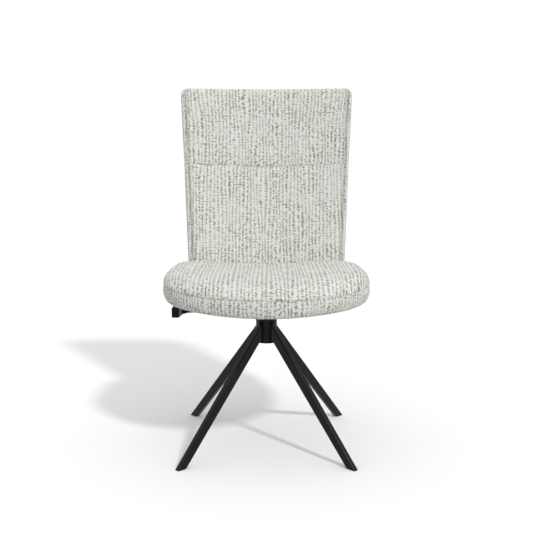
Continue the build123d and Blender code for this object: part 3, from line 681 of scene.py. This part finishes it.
def slab_lattice(stops, half, length, thick, foot, radii, edge):
    """A rounded slab's lattice, and each point's place while the slab is still flat.

    A stop is a share of the side and an offset in metres. The radii are those of the top
    and foot corners, and edge rounds the slab towards both faces.
    """
    steps, quads, sides = box_lattice(*(len(side_stops) - 1 for side_stops in stops))
    (share, offset), (deep_share, deep_offset), (along_share, along_offset) = (
        np.array(side_stops)[steps[:, i]].T for i, side_stops in enumerate(stops)
    )
    along = along_share * length + along_offset
    across = share * half(along) + offset
    deep = deep_share * thick(along) + deep_offset
    low, high = foot(deep), length
    along = low + (along / length) * (high - low)
    wide = half(along)
    inside = wide - np.abs(across)
    out_across = np.sign(across)
    out_along = np.zeros(len(across))
    top_gap, foot_gap = high - along, along - low
    for gap, sense, radius in ((top_gap, 1, radii[0]), (foot_gap, -1, radii[1])):
        in_corner = (np.abs(across) > wide - radius) & (gap < radius)
        a = np.clip((np.abs(across) - wide + radius) / radius, 0, 1)
        b = np.clip((radius - gap) / radius, 0, 1)
        bent_a, bent_b = quarter_round(a, b)
        across = np.where(in_corner, np.sign(across) * (wide - radius + radius * bent_a), across)
        along = np.where(in_corner, (high if sense > 0 else low) - sense * radius * (1 - bent_b), along)
        reach = np.maximum(np.hypot(bent_a, bent_b), 1e-6)
        inside = np.where(in_corner, radius * (1 - reach), inside)
        out_across = np.where(in_corner, np.sign(across) * bent_a / reach, out_across)
        out_along = np.where(in_corner, sense * bent_b / reach, out_along)
        straight = ~in_corner & (gap < inside)
        inside = np.where(straight, gap, inside)
        out_across = np.where(straight, 0.0, out_across)
        out_along = np.where(straight, sense * 1.0, out_along)
    for depth_gap, sense in ((deep, -1), (thick(along) - deep, 1)):
        near = (inside < edge) & (depth_gap < edge)
        a = np.clip((edge - inside) / edge, 0, 1)
        b = np.clip((edge - depth_gap) / edge, 0, 1)
        bent_a, bent_b = quarter_round(a, b)
        pull = np.where(near, edge * (1 - bent_a) - inside, 0)
        across = across - out_across * pull
        along = along - out_along * pull
        deep = deep - sense * np.where(near, edge * (1 - bent_b) - depth_gap, 0)
    return steps, quads, sides, across, along, deep


def start_stops(offsets):
    return [(0, offset) for offset in offsets]


def end_stops(offsets):
    return [(1, -offset) for offset in reversed(offsets)]


def spread(start, end, count):
    """Even stops between two shares, without the two themselves."""
    return [(share, 0) for share in np.linspace(start, end, count + 1)[1:-1]]


print("stops between a half and one:", [float(share) for share, _ in spread(0.5, 1, 4)])

# %% Lattice of the back, with rows on its seams
edge_rows = (0, 0.0045, 0.0115)
beside_seam = 0.0155
gusset_rows = (0, edge_round * 0.4, gusset_seam - seam_half, gusset_seam, gusset_seam + seam_half)
cross_share = cross_seam / back_length

back_across = [(-1, offset) for offset in gusset_rows]
back_across += [(share, -share * beside_seam) for share in np.linspace(-1, 1, 47)]
back_across += end_stops(gusset_rows)
back_along = start_stops(edge_rows) + spread(edge_rows[-1] / back_length, cross_share, 20)
back_along += [(cross_share, offset) for offset in (-seam_half, 0, seam_half)]
back_along += spread(cross_share + 0.008, 1 - 0.02, 22) + end_stops((*edge_rows, beside_seam))
back_deep = start_stops(edge_rows) + spread(0.19, 0.81, 4) + end_stops(edge_rows)

steps, quads, sides, across, along, deep = slab_lattice(
    (back_across, back_deep, back_along), back_half, back_length, back_thick,
    lambda deep: (deep + 0.020) * math.tan(recline), (corner_round, edge_round), edge_round,
)
along = along - cross_sag(across, along) * (deep < 0.001)
back_pad = mesh_piece("back_pad", back_place(across, along, deep), quads, back_fabric)
print("back lattice has", len(quads), "quads")

# %% Stuff the back
share, offset = np.array(back_across)[steps[:, 0]].T
from_edge = np.abs(offset) + (1 - np.abs(share)) * 0.24
on_front, on_rear = steps[:, 1] == 0, steps[:, 1] == len(back_deep) - 1
on_top = steps[:, 2] == len(back_along) - 1
on_gusset_seam = np.isclose(from_edge, gusset_seam) & (on_front | on_rear | on_top)
on_cross_seam = (steps[:, 2] == back_along.index((cross_share, 0))) & on_front
side_number = {name: i for i, name in enumerate(("front", "rear", "left", "right", "top", "bottom"))}

mesh = back_pad.data
keep(mesh, "slab", np.stack([across, along, deep], axis=1))
keep(mesh, "seam", np.minimum(from_edge, 0.05))
keep(mesh, "cross", along + cross_sag(across, along))
keep(mesh, "side", np.array([side_number[name] for name in sides]), "FACE")
pinned = on_gusset_seam | on_cross_seam | on_rear | (steps[:, 2] == 0)
went = swell(back_pad, pinned, pressure=4.0, cap=0.006)
mesh, points = refine(back_pad, 2)
slab = kept(mesh, "slab")
from_edge = kept(mesh, "seam")
along_rest = kept(mesh, "cross")
side_of_face = kept(mesh, "side").astype(int)
print("swelled by up to", round(went * 1000, 1), "mm;", len(points), "points after refining")

# %% Seam grooves, puckers and ribs of the back
gusset_depth, gusset_width = 0.0026, 0.0030
cross_depth, cross_depth_extra, cross_width = 0.0004, 0.0011, 0.0024
pull_depth, pull_width = 0.0002, 0.012
pucker_depth, pucker_length, pucker_above, pucker_width = 0.0006, 0.021, 0.005, 0.006
fan_from, fan_widening = 0.80, 0.05
lower_shift = 0.004

touches = np.zeros((len(points), len(side_number)), bool)
touches[corner_points(mesh), np.repeat(side_of_face, 4)] = True
at_front, at_rear, at_left, at_right, at_top, _ = touches.T
on_panel = at_front | at_top
beside_gusset = on_panel | at_rear
from_gusset = from_edge - gusset_seam
from_cross = along_rest - cross_seam
middle = np.clip(1 - (np.abs(slab[:, 0]) / 0.24) ** 2, 0, 1)

sink = gusset_depth * dent(from_gusset, gusset_width) * beside_gusset
sink += (cross_depth + cross_depth_extra * middle) * dent(from_cross, cross_width) * at_front
sink += pull_depth * middle * dent(from_cross, pull_width) * at_front
puckers = pucker_depth * waves(slab[:, 0], pucker_length, 3)
sink += puckers * dent(from_cross - pucker_above, pucker_width) * at_front

fan = 1 + fan_widening * smooth_step(slab[:, 1] / back_length, fan_from, 1.0)
panel_across = wander(points[:, 0] / fan, slab[:, 1])
panel_across += lower_shift * (along_rest < cross_seam)
gusset_across = slab[:, 2] + 0.3
rib_across = np.where((at_left | at_right) & ~on_panel, gusset_across, panel_across)
sink += rib_depth * ridge(rib_across) * (1 - dent(from_gusset, 0.003) * on_panel)
points = press_in(mesh, points, sink)
print("back sinks by up to", round(float(sink.max()) * 1000, 1), "mm")

# %% Cloth of the back


def back_cloth(corners, faces):
    """Ribs run up the panel and over the top, and up each gusset."""
    side = side_of_face[faces]
    deep, along = slab[corners, 2], slab[corners, 1]
    is_side = (side == side_number["left"]) | (side == side_number["right"])
    is_rear = side == side_number["rear"]
    u = np.where(is_side, gusset_across[corners], panel_across[corners])
    v = np.where(is_rear, -along, along + np.where(is_side, 0, deep))
    piece = np.where(is_side, 2.0 + (side == side_number["left"]), np.where(is_rear, 1.0, 0.0))
    centre = np.zeros(len(mesh.polygons))
    np.add.at(centre, faces, along_rest[corners] / 4)
    lower = (side == side_number["front"]) & (centre[faces] < cross_seam)
    return np.stack([u, v, piece * 3.7 + 23.1 * lower], axis=1)


# Painted shade along the side seams, darker towards the foot, and along the seam across the panel
foot_dark, dark_lost_upwards, dark_width = 0.50, 0.10, 0.0048
cross_dark, cross_dark_extra, cross_dark_width = 0.04, 0.19, 0.0015
gusset_shade = foot_dark - dark_lost_upwards * slab[:, 1] / back_length
gusset_shade = gusset_shade * dent(from_gusset - 0.0012, dark_width) * beside_gusset
cross_shade = (cross_dark + cross_dark_extra * middle) * dent(from_cross, cross_dark_width) * at_front
lay_cloth(mesh, back_cloth)
keep(mesh, "sewn", np.maximum(gusset_shade, cross_shade))
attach(back_pad, "seat")
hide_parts("back_cushion")
print("back pad has", len(mesh.polygons), "faces")

# %% [markdown]
# ## Rear cover
#
# A separate, thin padded cover closes the back from behind, set in a little from the edges.
# It stands 3 mm proud and swells slightly, as a stapled or zipped cover does.

# %% Lattice of the rear cover
cover_inset = 0.021
cover_proud = 0.003
cover_deep = 0.010
cover_foot = 0.016
cover_length = back_length - cover_inset - cover_foot
cover_rows = (0, 0.003, 0.007)
cover_corners, cover_edge_round = (0.012, 0.008), 0.0045


def cover_half(along):
    return back_half(along + cover_foot) - cover_inset


cover_across = [(-1, offset) for offset in cover_rows]
cover_across += [(share, -share * cover_rows[-1]) for share, _ in spread(-1, 1, 48)]
cover_across += end_stops(cover_rows)
cover_along = start_stops(cover_rows) + spread(0.02, 0.98, 52) + end_stops(cover_rows)
steps, quads, sides, across, along, deep = slab_lattice(
    (cover_across, [(0, 0), (0.5, 0), (1, -0.003), (1, 0)], cover_along), cover_half, cover_length,
    lambda along: np.full_like(along, cover_deep), lambda deep: 0 * deep, cover_corners, cover_edge_round,
)
along = along + cover_foot
depth = deep + back_thick(along) - cover_deep + cover_proud
rear_cover = mesh_piece("rear_cover", back_place(across, along, depth), quads, panel_fabric)
print("rear cover lattice has", len(quads), "quads")

# %% Stuff and rib the rear cover
keep(rear_cover.data, "slab", np.stack([across, along, deep], axis=1))
went = swell(rear_cover, steps[:, 1] < 2, pressure=3.0, cap=0.004)
mesh, points = refine(rear_cover, 2)
slab = kept(mesh, "slab")
edge_gap = np.minimum(cover_half(slab[:, 1] - cover_foot) - np.abs(slab[:, 0]), slab[:, 1] - cover_foot)
edge_gap = np.minimum(edge_gap, back_length - cover_inset - slab[:, 1])
rib_across = wander(points[:, 0], slab[:, 1] + 3.0)
press_in(mesh, points, rib_depth * ridge(rib_across) * np.clip(edge_gap / 0.008, 0, 1))
lay_cloth(mesh, lambda corners, faces: np.stack(
    [rib_across[corners], slab[corners, 1], np.full(len(corners), 31.0)], axis=1
))
# Painted shade along the cover's edge, where it meets the back pad
keep(mesh, "sewn", 0.5 * dent(edge_gap, 0.0035))
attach(rear_cover, "seat")
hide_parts("back_panel")
print("rear cover", len(mesh.polygons), "faces, swelled", round(went * 1000, 1), "mm")

# %% [markdown]
# ## Seat
#
# The seat is a thick rounded cushion: a crowned top panel, slightly dished where one sits,
# and a border that turns under to the board. The two meet in a seam near the widest height.
# In plan the front is half an ellipse, the sides taper a little, and the rear tucks against
# the back. The lattice's side rows follow the seat's profile from the shoulder down.

# %% Sizes of the seat
seat_front = 0.252
seat_half = 0.284
seat_widest = 0.004
seat_rear_half = 0.258
seat_taper_end = 0.252
seat_rear = 0.226
rear_corner = 0.062
bottom_height = 0.398
seam_height = 0.4425
seat_top = 0.4815
plan_centre = -0.01
front_roll = 0.078
side_roll = 0.024
rear_roll = 0.022
front_sag = 0.0024
side_lift = 0.0010
seam_side_rise = 0.004
shoulder_rise, nose_drop = 0.0035, 0.006
dish_width, dish_front, dish_rear_extra = 0.150, 0.004, 0.013
hug_depth, hug_half, rear_tuck = 0.024, 0.237, 0.011
print("seat", 2 * seat_half, "wide,", seat_front + seat_rear, "deep")

# %% Plan of the seat


def seat_plan():
    """Half the seat's outline from the front middle to the rear middle, as (x, depth)."""
    turn = np.linspace(0, math.pi / 2, 90)
    front = np.stack(
        [seat_half * np.sin(turn), seat_widest - (seat_front + seat_widest) * np.cos(turn)], axis=1
    )
    depth = np.linspace(seat_widest, seat_rear, 220)[1:]
    share = (depth - seat_widest) / (seat_taper_end - seat_widest)
    wide = seat_half - (seat_half - seat_rear_half) * share ** 2
    into = np.maximum(depth - (seat_rear - rear_corner), 0)
    wide -= rear_corner - np.sqrt(np.maximum(rear_corner ** 2 - into ** 2, 0))
    flank = np.stack([wide, depth], axis=1)
    rear = np.stack([np.linspace(flank[-1, 0], 0, 60)[1:], np.full(59, seat_rear)], axis=1)
    return np.concatenate([front, flank, rear])


half_plan = seat_plan()
plan = np.concatenate([half_plan, half_plan[-2:0:-1] * (-1, 1)])
plan_turn = np.unwrap(np.arctan2(plan[:, 0], plan_centre - plan[:, 1]))
plan_reach = np.hypot(plan[:, 0], plan[:, 1] - plan_centre)
plan_arc = np.concatenate([[0], np.cumsum(np.hypot(*np.diff(plan, axis=0).T))])


def reach_at(turn):
    """Distance from the plan's centre to the outline in a direction."""
    return np.interp(turn % (2 * math.pi), plan_turn, plan_reach, period=2 * math.pi)


def arc_at(turn):
    """Distance along the outline from the front middle to a direction."""
    return np.interp(turn % (2 * math.pi), plan_turn, plan_arc)


print("seat outline", round(plan_arc[-1], 3), "m round")

# %% Height of the seat's top panel


def seam_line(x):
    """Height of the border seam: level at the front and a few millimetres up at the sides."""
    return seam_height + seam_side_rise * smooth_step(np.abs(x), 0.12, 0.28)


def top_target(x, depth):
    """The cushion's top without its rounded edge: two shoulders and a dish between."""
    dish = dish_front + dish_rear_extra * smooth_step(depth, -0.20, 0.12)
    nose = nose_drop * smooth_step(-depth, 0.10, 0.26)
    return seat_top + shoulder_rise - dent(x, dish_width) * dish - nose


def round_width(depth):
    """Width of the rounded edge: broad at the front, less at the sides, tight at the back."""
    wide = front_roll - (front_roll - side_roll) * smooth_step(depth, -0.22, 0.02)
    return wide - (side_roll - rear_roll) * smooth_step(depth, 0.12, 0.215)


def seat_height(x, depth, inset):
    share = np.clip(inset / round_width(depth), 0, 1)
    rise = np.sqrt(np.maximum(1 - (1 - share) ** 2.2, 0))
    low = seam_line(x)
    return low + rise * (top_target(x, depth) - low)


print("top at the shoulder", round(float(seat_height(0.2, 0.0, 0.08)), 4))

# %% Profile of the seat's edge, as inset and height
board_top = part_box("seat_board")[1].z
pocket_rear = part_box("seat_board")[1].y - axis_depth + 0.001
seam_heights = (seam_height - seam_half, seam_height, seam_height + seam_half)
pocket = [(0.0315, board_top + 0.0006), (0.0305, 0.4060), (0.0295, 0.4000)]
border = [
    (0.0260, 0.3984),
    (0.0185, 0.3984),
    (0.0110, 0.4005),
    (0.0052, 0.4058),
    (0.0020, 0.4135),
    (0.0004, 0.4225),
    (0.0000, 0.4320),
]
seam_rows = list(zip((0.0007, 0.0012, 0.0009), seam_heights))
shoulder_insets = (0.0020, 0.0060, 0.0130, 0.0230, 0.0340)
profile = pocket + border + seam_rows + [(inset, 0) for inset in shoulder_insets]
seam_row = len(pocket) + len(border) + 1
print("profile of", len(profile), "rows, its seam in row", seam_row)

# %% Lattice of the seat
columns, rows = 50, 44
steps, quads, sides = box_lattice(columns, rows, len(profile) - 1)
step_row = steps[:, 2]
p = 2 * steps[:, 0] / columns - 1
q = 2 * steps[:, 1] / rows - 1
disc_x, disc_y = quarter_round(p, q)
turn = np.arctan2(disc_x, -disc_y)
row_inset, row_height = np.array(profile)[step_row].T
is_pocket = step_row < len(pocket)
is_top = step_row > seam_row + 1
under = ~is_pocket & (step_row < seam_row)
frontward = np.clip(np.cos(turn), 0, 1) ** 2
tuck = np.where(under, 1.5 - 0.9 * frontward, 1)
reach = (reach_at(turn) - row_inset * tuck) * np.hypot(disc_x, disc_y)
x = reach * np.sin(turn)
depth = plan_centre - reach * np.cos(turn)
inset = reach_at(turn) - reach

below_seam = 1 - np.clip((row_height - bottom_height) / (seam_height - bottom_height), 0, 1)
sag = under * (front_sag * frontward ** 3 - side_lift * np.sin(turn) ** 2) * below_seam
lift = (seam_line(x) - seam_height) * (row_height > 0.41)
height = np.where(is_top, seat_height(x, depth, inset), row_height + lift - sag)
depth = np.where(is_pocket, np.minimum(depth, pocket_rear), depth)
# The rear leans with the back and fills its hollow
rear_share = smooth_step(depth, 0.10, seat_rear) * ~is_pocket
hug = hug_depth * np.clip(1 - (x / hug_half) ** 2, 0, 1)
lean = (height - bottom_height) * math.tan(recline)
depth = depth + rear_share * (hug + lean - rear_tuck)
seat_pad = mesh_piece("seat_pad", np.stack([x, axis_depth + depth, height], axis=1), quads, seat_fabric)
print("seat lattice has", len(quads), "quads")

# %% Stuff the seat and sew its border
border_depth, border_width = 0.0018, 0.0019
border_pull_depth, border_pull_width = 0.0006, 0.009
border_pucker_depth, border_pucker_length = 0.0005, 0.019

keep(seat_pad.data, "row", step_row.astype(float))
pinned = (step_row == seam_row) | (step_row <= len(pocket) + 1)
went = swell(seat_pad, pinned, pressure=4.0, cap=0.006)
mesh, points = refine(seat_pad, 2)
row = kept(mesh, "row")
from_seam = points[:, 2] - seam_line(points[:, 0])
near_wall = (row < len(profile) - 1.5) & (row > len(pocket))
turn = np.arctan2(points[:, 0], plan_centre - (points[:, 1] - axis_depth)) % (2 * math.pi)
arc = arc_at(turn) - plan_arc[-1] * (turn > math.pi)
# The seam's dent shapes both the groove and its painted shade
sewn = dent(from_seam, border_width) * near_wall
sink = border_depth * sewn
sink += border_pull_depth * dent(from_seam, border_pull_width) * near_wall
puckers = border_pucker_depth * waves(arc, border_pucker_length, 11)
sink += puckers * dent(from_seam - 0.004, 0.005) * near_wall
print("seat swelled by up to", round(went * 1000, 1), "mm;", len(points), "points")

# %% Ribs of the seat, smooth at the seam and where the back bar comes out
drop = np.maximum(seat_top - points[:, 2], 0)
sideways = smooth_step(np.minimum(turn, 2 * math.pi - turn), math.radians(60), math.radians(84))
sideways *= smooth_step(np.abs(points[:, 0]), 0.10, 0.22)
u_top = points[:, 0] + np.sign(points[:, 0]) * drop * sideways
u_top = wander(u_top, 0.3 * points[:, 1])
u_border = wander(arc, points[:, 2] + 5.0)
rib_across = np.where(row < seam_row, u_border, u_top)
beside_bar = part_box("back_bar")[1].x + 0.008 - np.abs(points[:, 0])
at_bar = smooth_step(beside_bar, 0, 0.006) * smooth_step(points[:, 1] - axis_depth, 0.17, 0.19)
smooth_share = np.maximum(dent(from_seam, 0.004) * near_wall, at_bar)
sink += rib_depth * ridge(rib_across) * (1 - smooth_share) * (row > len(pocket))
points = press_in(mesh, points, sink)
print("seat sinks by up to", round(float(sink.max()) * 1000, 1), "mm")

# %% Cloth of the seat


def seat_cloth(corners, faces):
    """Ribs run fore and aft over the top, and straight down the border."""
    centre_row = np.zeros(len(mesh.polygons))
    np.add.at(centre_row, faces, row[corners] / 4)
    is_border = centre_row[faces] < seam_row
    forward = np.cos(turn[corners]) ** 2
    v_top = 0.75 * (drop[corners] * forward - (points[corners, 1] - axis_depth))
    join = np.full(len(mesh.polygons), -np.inf)
    np.maximum.at(join, faces, u_border[corners])
    past_join = u_border[corners] < join[faces] - plan_arc[-1] / 2
    u_round = u_border[corners] + plan_arc[-1] * past_join
    u = np.where(is_border, u_round, u_top[corners])
    v = np.where(is_border, points[corners, 2], v_top)
    return np.stack([u, v, np.where(is_border, 17.3, 11.1)], axis=1)


lay_cloth(mesh, seat_cloth)
# Painted shade in the border seam's groove
keep(mesh, "sewn", 0.14 * sewn)
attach(seat_pad, "seat")
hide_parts("seat_cushion")
print("seat pad has", len(mesh.polygons), "faces")

# %% [markdown]
# ## Metal, plastic and the other finishes
#
# The legs, hub and mechanism have a satin black powder coat: nearly black, with the fine
# pebbled skin that baked powder has, and a little dust and scuffing near the floor. The
# handle, soles and caps are moulded plastic. Inside there are zinc plated screws, plywood
# boards and a black dust cover.

# %% Node group for a pebbled skin
pebbled, wire, given, result = node_group(
    "pebbled_skin",
    [
        ("Grain size", "Float", 1500.0),
        ("Body", "Color", (0.014, 0.0135, 0.013, 1)),
        ("Rubbed", "Color", (0.06, 0.058, 0.055, 1)),
        ("Gloss", "Float", 0.42),
        ("Scuffs", "Float", 0.3),
    ],
    [("Color", "Color"), ("Roughness", "Float"), ("Height", "Float")],
)
space = wire.space()
cloud = wire.noise(space, 24.0, 4.0)
streak = wire.noise(space, 160.0, 3.0)
scuffed = wire.times(wire.ease(cloud, 0.52, 0.72), wire.ease(streak, 0.45, 0.7), given["Scuffs"])
low_down = wire.put("ShaderNodeSeparateXYZ", {0: space}).outputs["Z"]
dusty = wire.times(wire.ease(low_down, 0.0, 0.09, 0.35, 0.0), cloud)
rubbed = wire.math("MINIMUM", wire.plus(scuffed, dusty), 1.0)
rough = wire.plus(given["Gloss"], wire.times(cloud, 0.12), wire.times(rubbed, 0.2))
wire.feed(result["Color"], wire.colours(rubbed, given["Body"], given["Rubbed"]))
wire.feed(result["Roughness"], rough)
wire.feed(result["Height"], wire.noise(space, given["Grain size"], 2.0))
print("pebbled skin group has", len(pebbled.nodes), "nodes")

# %% Coated, moulded and rubber finishes

# Body colour, rubbed colour, gloss, grain size, scuffs, depth of the skin, mirroring
coatings = {
    "powder_coat": ((0.0024, 0.0022, 0.0020), (0.024, 0.023, 0.021), 0.25, 1400, 0.22, 0.00006, 0.5),
    "black_steel": ((0.018, 0.018, 0.018), (0.10, 0.10, 0.10), 0.33, 2200, 0.5, 0.00004, 0.5),
    "black_plastic": ((0.0060, 0.0058, 0.0055), (0.03, 0.03, 0.03), 0.42, 900, 0.2, 0.00008, 0.4),
    "bearing_plastic": ((0.016, 0.016, 0.018), (0.05, 0.05, 0.05), 0.42, 3000, 0.2, 0.00003, 0.5),
    "rubber": ((0.012, 0.012, 0.012), (0.05, 0.05, 0.05), 0.78, 700, 0.4, 0.00008, 0.5),
    "friction_pad": ((0.16, 0.13, 0.10), (0.3, 0.26, 0.2), 0.8, 500, 0.9, 0.0002, 0.5),
}
finish_of = {}
for name, (body, worn, gloss, grain_size, scuffs, skin_depth, mirroring) in coatings.items():
    finish_of[name], wire, shader = finish(name, Specular_IOR_Level=mirroring)
    feeds = {"Body": (*body, 1), "Rubbed": (*worn, 1), "Gloss": gloss, "Scuffs": scuffs}
    skin = wire.put("ShaderNodeGroup", {**feeds, "Grain size": grain_size}, node_tree=pebbled)
    wire.feed(shader.inputs["Base Color"], skin.outputs["Color"])
    wire.feed(shader.inputs["Roughness"], skin.outputs["Roughness"])
    add_bump(wire, shader, skin.outputs["Height"], skin_depth)
print("coated finishes", list(finish_of))

# %% Zinc plate and oiled spring steel

# Name, colour, roughness and the scale of a faint cloudiness
steels = {
    "zinc_steel": ("zinc_plate", (0.62, 0.63, 0.62), 0.28, 120.0),
    "spring_steel": ("spring_steel", (0.10, 0.10, 0.10), 0.32, 200.0),
}
for slot, (name, colour, rough, swirl) in steels.items():
    finish_of[slot], wire, shader = finish(name, Metallic=1.0)
    space = wire.space()
    cloud = wire.noise(space, swirl, 4.0)
    darker = tuple(0.7 * value for value in colour)
    wire.feed(shader.inputs["Base Color"], wire.colours(cloud, (*colour, 1), (*darker, 1)))
    wire.feed(shader.inputs["Roughness"], wire.ease(cloud, 0.2, 0.8, rough, rough + 0.2))
    add_bump(wire, shader, wire.noise(space, 1800.0), 0.00003)
print("steel finishes", list(steels))

# %% Plywood and dust cover
finish_of["plywood"], wire, shader = finish("plywood", Roughness=0.62)
along_grain = wire.put("ShaderNodeMapping", {"Vector": wire.space(), "Scale": (9.0, 90.0, 90.0)}).outputs[0]
grain = wire.noise(along_grain, 1.0, 6.0)
wood_colour = wire.colours(wire.ease(grain, 0.35, 0.7), (0.60, 0.45, 0.29, 1), (0.40, 0.27, 0.15, 1))
wire.feed(shader.inputs["Base Color"], wood_colour)
add_bump(wire, shader, grain, 0.0001)

finish_of["dust_cover"], wire, shader = finish("dust_cloth", Roughness=0.9, Sheen_Weight=0.15)
bonded = {"Vector": wire.space(), "Scale": 420.0, "Randomness": 0.15}
dots = wire.put("ShaderNodeTexVoronoi", bonded).outputs["Distance"]
dot_colour = wire.colours(wire.ease(dots, 0.1, 0.5), (0.012, 0.012, 0.013, 1), (0.035, 0.035, 0.037, 1))
wire.feed(shader.inputs["Base Color"], dot_colour)
add_bump(wire, shader, dots, 0.0002)
print("finishes for", len(finish_of), "slots")

# %% Give every CAD node its finish
dressed = 0
for subpart in frame["record"]["subparts"]:
    finish_name = subpart["material_slot"]
    if finish_name in finish_of:
        cad_mesh = nodes[subpart["node"]].data
        cad_mesh.materials.clear()
        cad_mesh.materials.append(finish_of[finish_name])
        dressed += 1
print("dressed", dressed, "CAD nodes")

# %% [markdown]
# ## Tilt springs
#
# Two coil springs stand between the lower frame and the seat plate. A CAD solid can't
# shorten; here they are wound as a mesh that reaches from the frame up to the plate. The
# coils are set so that they just close when the seat is right back, which leaves them close
# at the ends and open in the middle.

# %% Faces of a tube


def tube_faces(rings, sides, closed):
    """Quads between neighbouring rings of points. An open tube gets two flat ends."""
    faces = []
    for i in range(rings if closed else rings - 1):
        here, there = i * sides, (i + 1) % rings * sides
        for j in range(sides):
            k = (j + 1) % sides
            faces.append((here + j, here + k, there + k, there + j))
    if not closed:
        last = (rings - 1) * sides
        faces += [tuple(range(sides))[::-1], tuple(range(last, last + sides))]
    return faces


print("a short tube has", len(tube_faces(2, 12, False)), "faces")

# %% Wind the tilt springs
wire_radius = 0.0018
coil_radius = 0.010
spring_spacing = 0.050
spring_turns = 4.0
spring_rings = 160
wire_sides = 12

springs_low, springs_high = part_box("tilt_springs")
spring_y = (springs_low.y + springs_high.y) / 2
foot = springs_low.z + wire_radius
rise = springs_high.z - springs_low.z - 2 * wire_radius
tilt = joints["seat_tilt"]
shut = (spring_y - tilt["pos_m"][1]) * math.sin(math.radians(tilt["range_deg"][1])) / rise
share = np.linspace(0, 1, spring_rings)
coil_turn = 2 * math.pi * spring_turns * (share - shut * smooth_step(share, 0, 1)) / (1 - shut)
outward = np.stack([np.cos(coil_turn), np.sin(coil_turn), 0 * coil_turn], axis=1)
around = np.linspace(0, 2 * math.pi, wire_sides, endpoint=False)
points, faces = [], []
for side in (-0.5, 0.5):
    middle = np.stack([0 * share + side * spring_spacing, 0 * share + spring_y, foot + rise * share], axis=1)
    rings = middle[:, None] + (coil_radius + wire_radius * np.cos(around))[:, None] * outward[:, None]
    rings[:, :, 2] += wire_radius * np.sin(around)
    faces += [[len(points) + i for i in face] for face in tube_faces(spring_rings, wire_sides, False)]
    points += list(rings.reshape(-1, 3))
coil_springs = mesh_piece("coil_springs", points, faces, finish_of["spring_steel"])
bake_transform(coil_springs)
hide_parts("tilt_springs")
print("two springs,", round(rise * 1000, 1), "mm tall, shut by", round(shut * rise * 1000, 1), "mm")

# %% [markdown]
# ## Weld beads
#
# Each leg is welded all round to the hub. The bead is a thin rope of weld that follows the
# line where the square tube meets the round hub, so it is found by sending the tube's
# outline along the leg until it reaches the hub.

# %% Sizes of the legs at the hub
leg_slope = math.radians(47.892)
leg_reach = 0.325
leg_width, leg_edge = 0.015, 0.002
foot_depth, leg_growth = 0.020, 0.01906
joint_along = 0.425
hub_radius = 0.029
bead_radius, bead_ripple = 0.0016, 0.0002


def rounded_outline(width, height, radius, per_corner=5, per_side=5):
    """Points round a rectangle with rounded corners, its long sides divided as well."""
    outline = []
    for sx, sy, start in ((1, 1, 0), (-1, 1, 90), (-1, -1, 180), (1, -1, 270)):
        angle = np.radians(np.linspace(start, start + 90, per_corner))
        corner = (sx * (width / 2 - radius), sy * (height / 2 - radius))
        outline += list(corner + radius * np.stack([np.cos(angle), np.sin(angle)], axis=1))
    filled = []
    for here, there in zip(outline, outline[1:] + outline[:1]):
        pieces = max(1, round(math.dist(here, there) / (height / per_side)))
        filled += list(np.linspace(here, there, pieces, endpoint=False))
    return np.array(filled)


print("a leg's outline has", len(rounded_outline(leg_width, foot_depth, leg_edge)), "points")

# %% Path and shape of a weld bead


def weld_path(azimuth):
    """The line where a leg meets the hub, all round the leg.

    Each point of the outline moves along the leg, which grows as it rises, until it is at
    the hub's surface.
    """
    turn = math.radians(azimuth)
    sine, cosine = math.sin(leg_slope), math.cos(leg_slope)
    joint_depth = foot_depth + leg_growth * joint_along
    wide, tall = rounded_outline(leg_width, joint_depth, leg_edge).T
    start_out = leg_reach - foot_depth / 2 / sine - joint_along * cosine + tall * sine
    start_up = joint_along * sine + tall * cosine
    growth = leg_growth * tall / joint_depth
    out = np.sqrt(hub_radius ** 2 - wide ** 2)
    up = start_up + (out - start_out) * (sine + growth * cosine) / (growth * sine - cosine)
    x = out * math.cos(turn) - wide * math.sin(turn)
    y = out * math.sin(turn) + wide * math.cos(turn)
    return np.stack([x, axis_depth + y, up], axis=1)


def rope(path, radii, sides=10):
    """Points and faces of a rope of varying radius along a closed path."""
    ahead = np.roll(path, -1, axis=0) - np.roll(path, 1, axis=0)
    ahead /= np.linalg.norm(ahead, axis=1, keepdims=True)
    first = np.cross(ahead, path - path.mean(axis=0))
    first /= np.linalg.norm(first, axis=1, keepdims=True)
    second = np.cross(ahead, first)
    turns = np.linspace(0, 2 * math.pi, sides, endpoint=False)
    rings = [
        path[i] + radii[i] * (np.outer(np.cos(turns), first[i]) + np.outer(np.sin(turns), second[i]))
        for i in range(len(path))
    ]
    return np.concatenate(rings), tube_faces(len(path), sides, True)


for name, azimuth in (("rear_left", 45), ("rear_right", 135), ("front_right", 225), ("front_left", 315)):
    path = weld_path(azimuth)
    ripple = bead_radius + bead_ripple * np.sin(np.arange(len(path)) * 2.1 + azimuth)
    weld = mesh_piece("weld_" + name, *rope(path, ripple), finish_of["powder_coat"])
    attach(weld, "base")
print("four weld beads of", len(path), "rings")

# %% [markdown]
# ## What mirrored rays see
#
# In the picture the black legs mirror the studio and not the pale seat above them, as lit
# product pictures often do. So every mesh is hidden from mirrored rays, which then meet
# only the studio walls of the world.

# %% Let mirrored rays see only the studio
for piece in scene.objects:
    if piece.type == "MESH":
        piece.visible_glossy = False
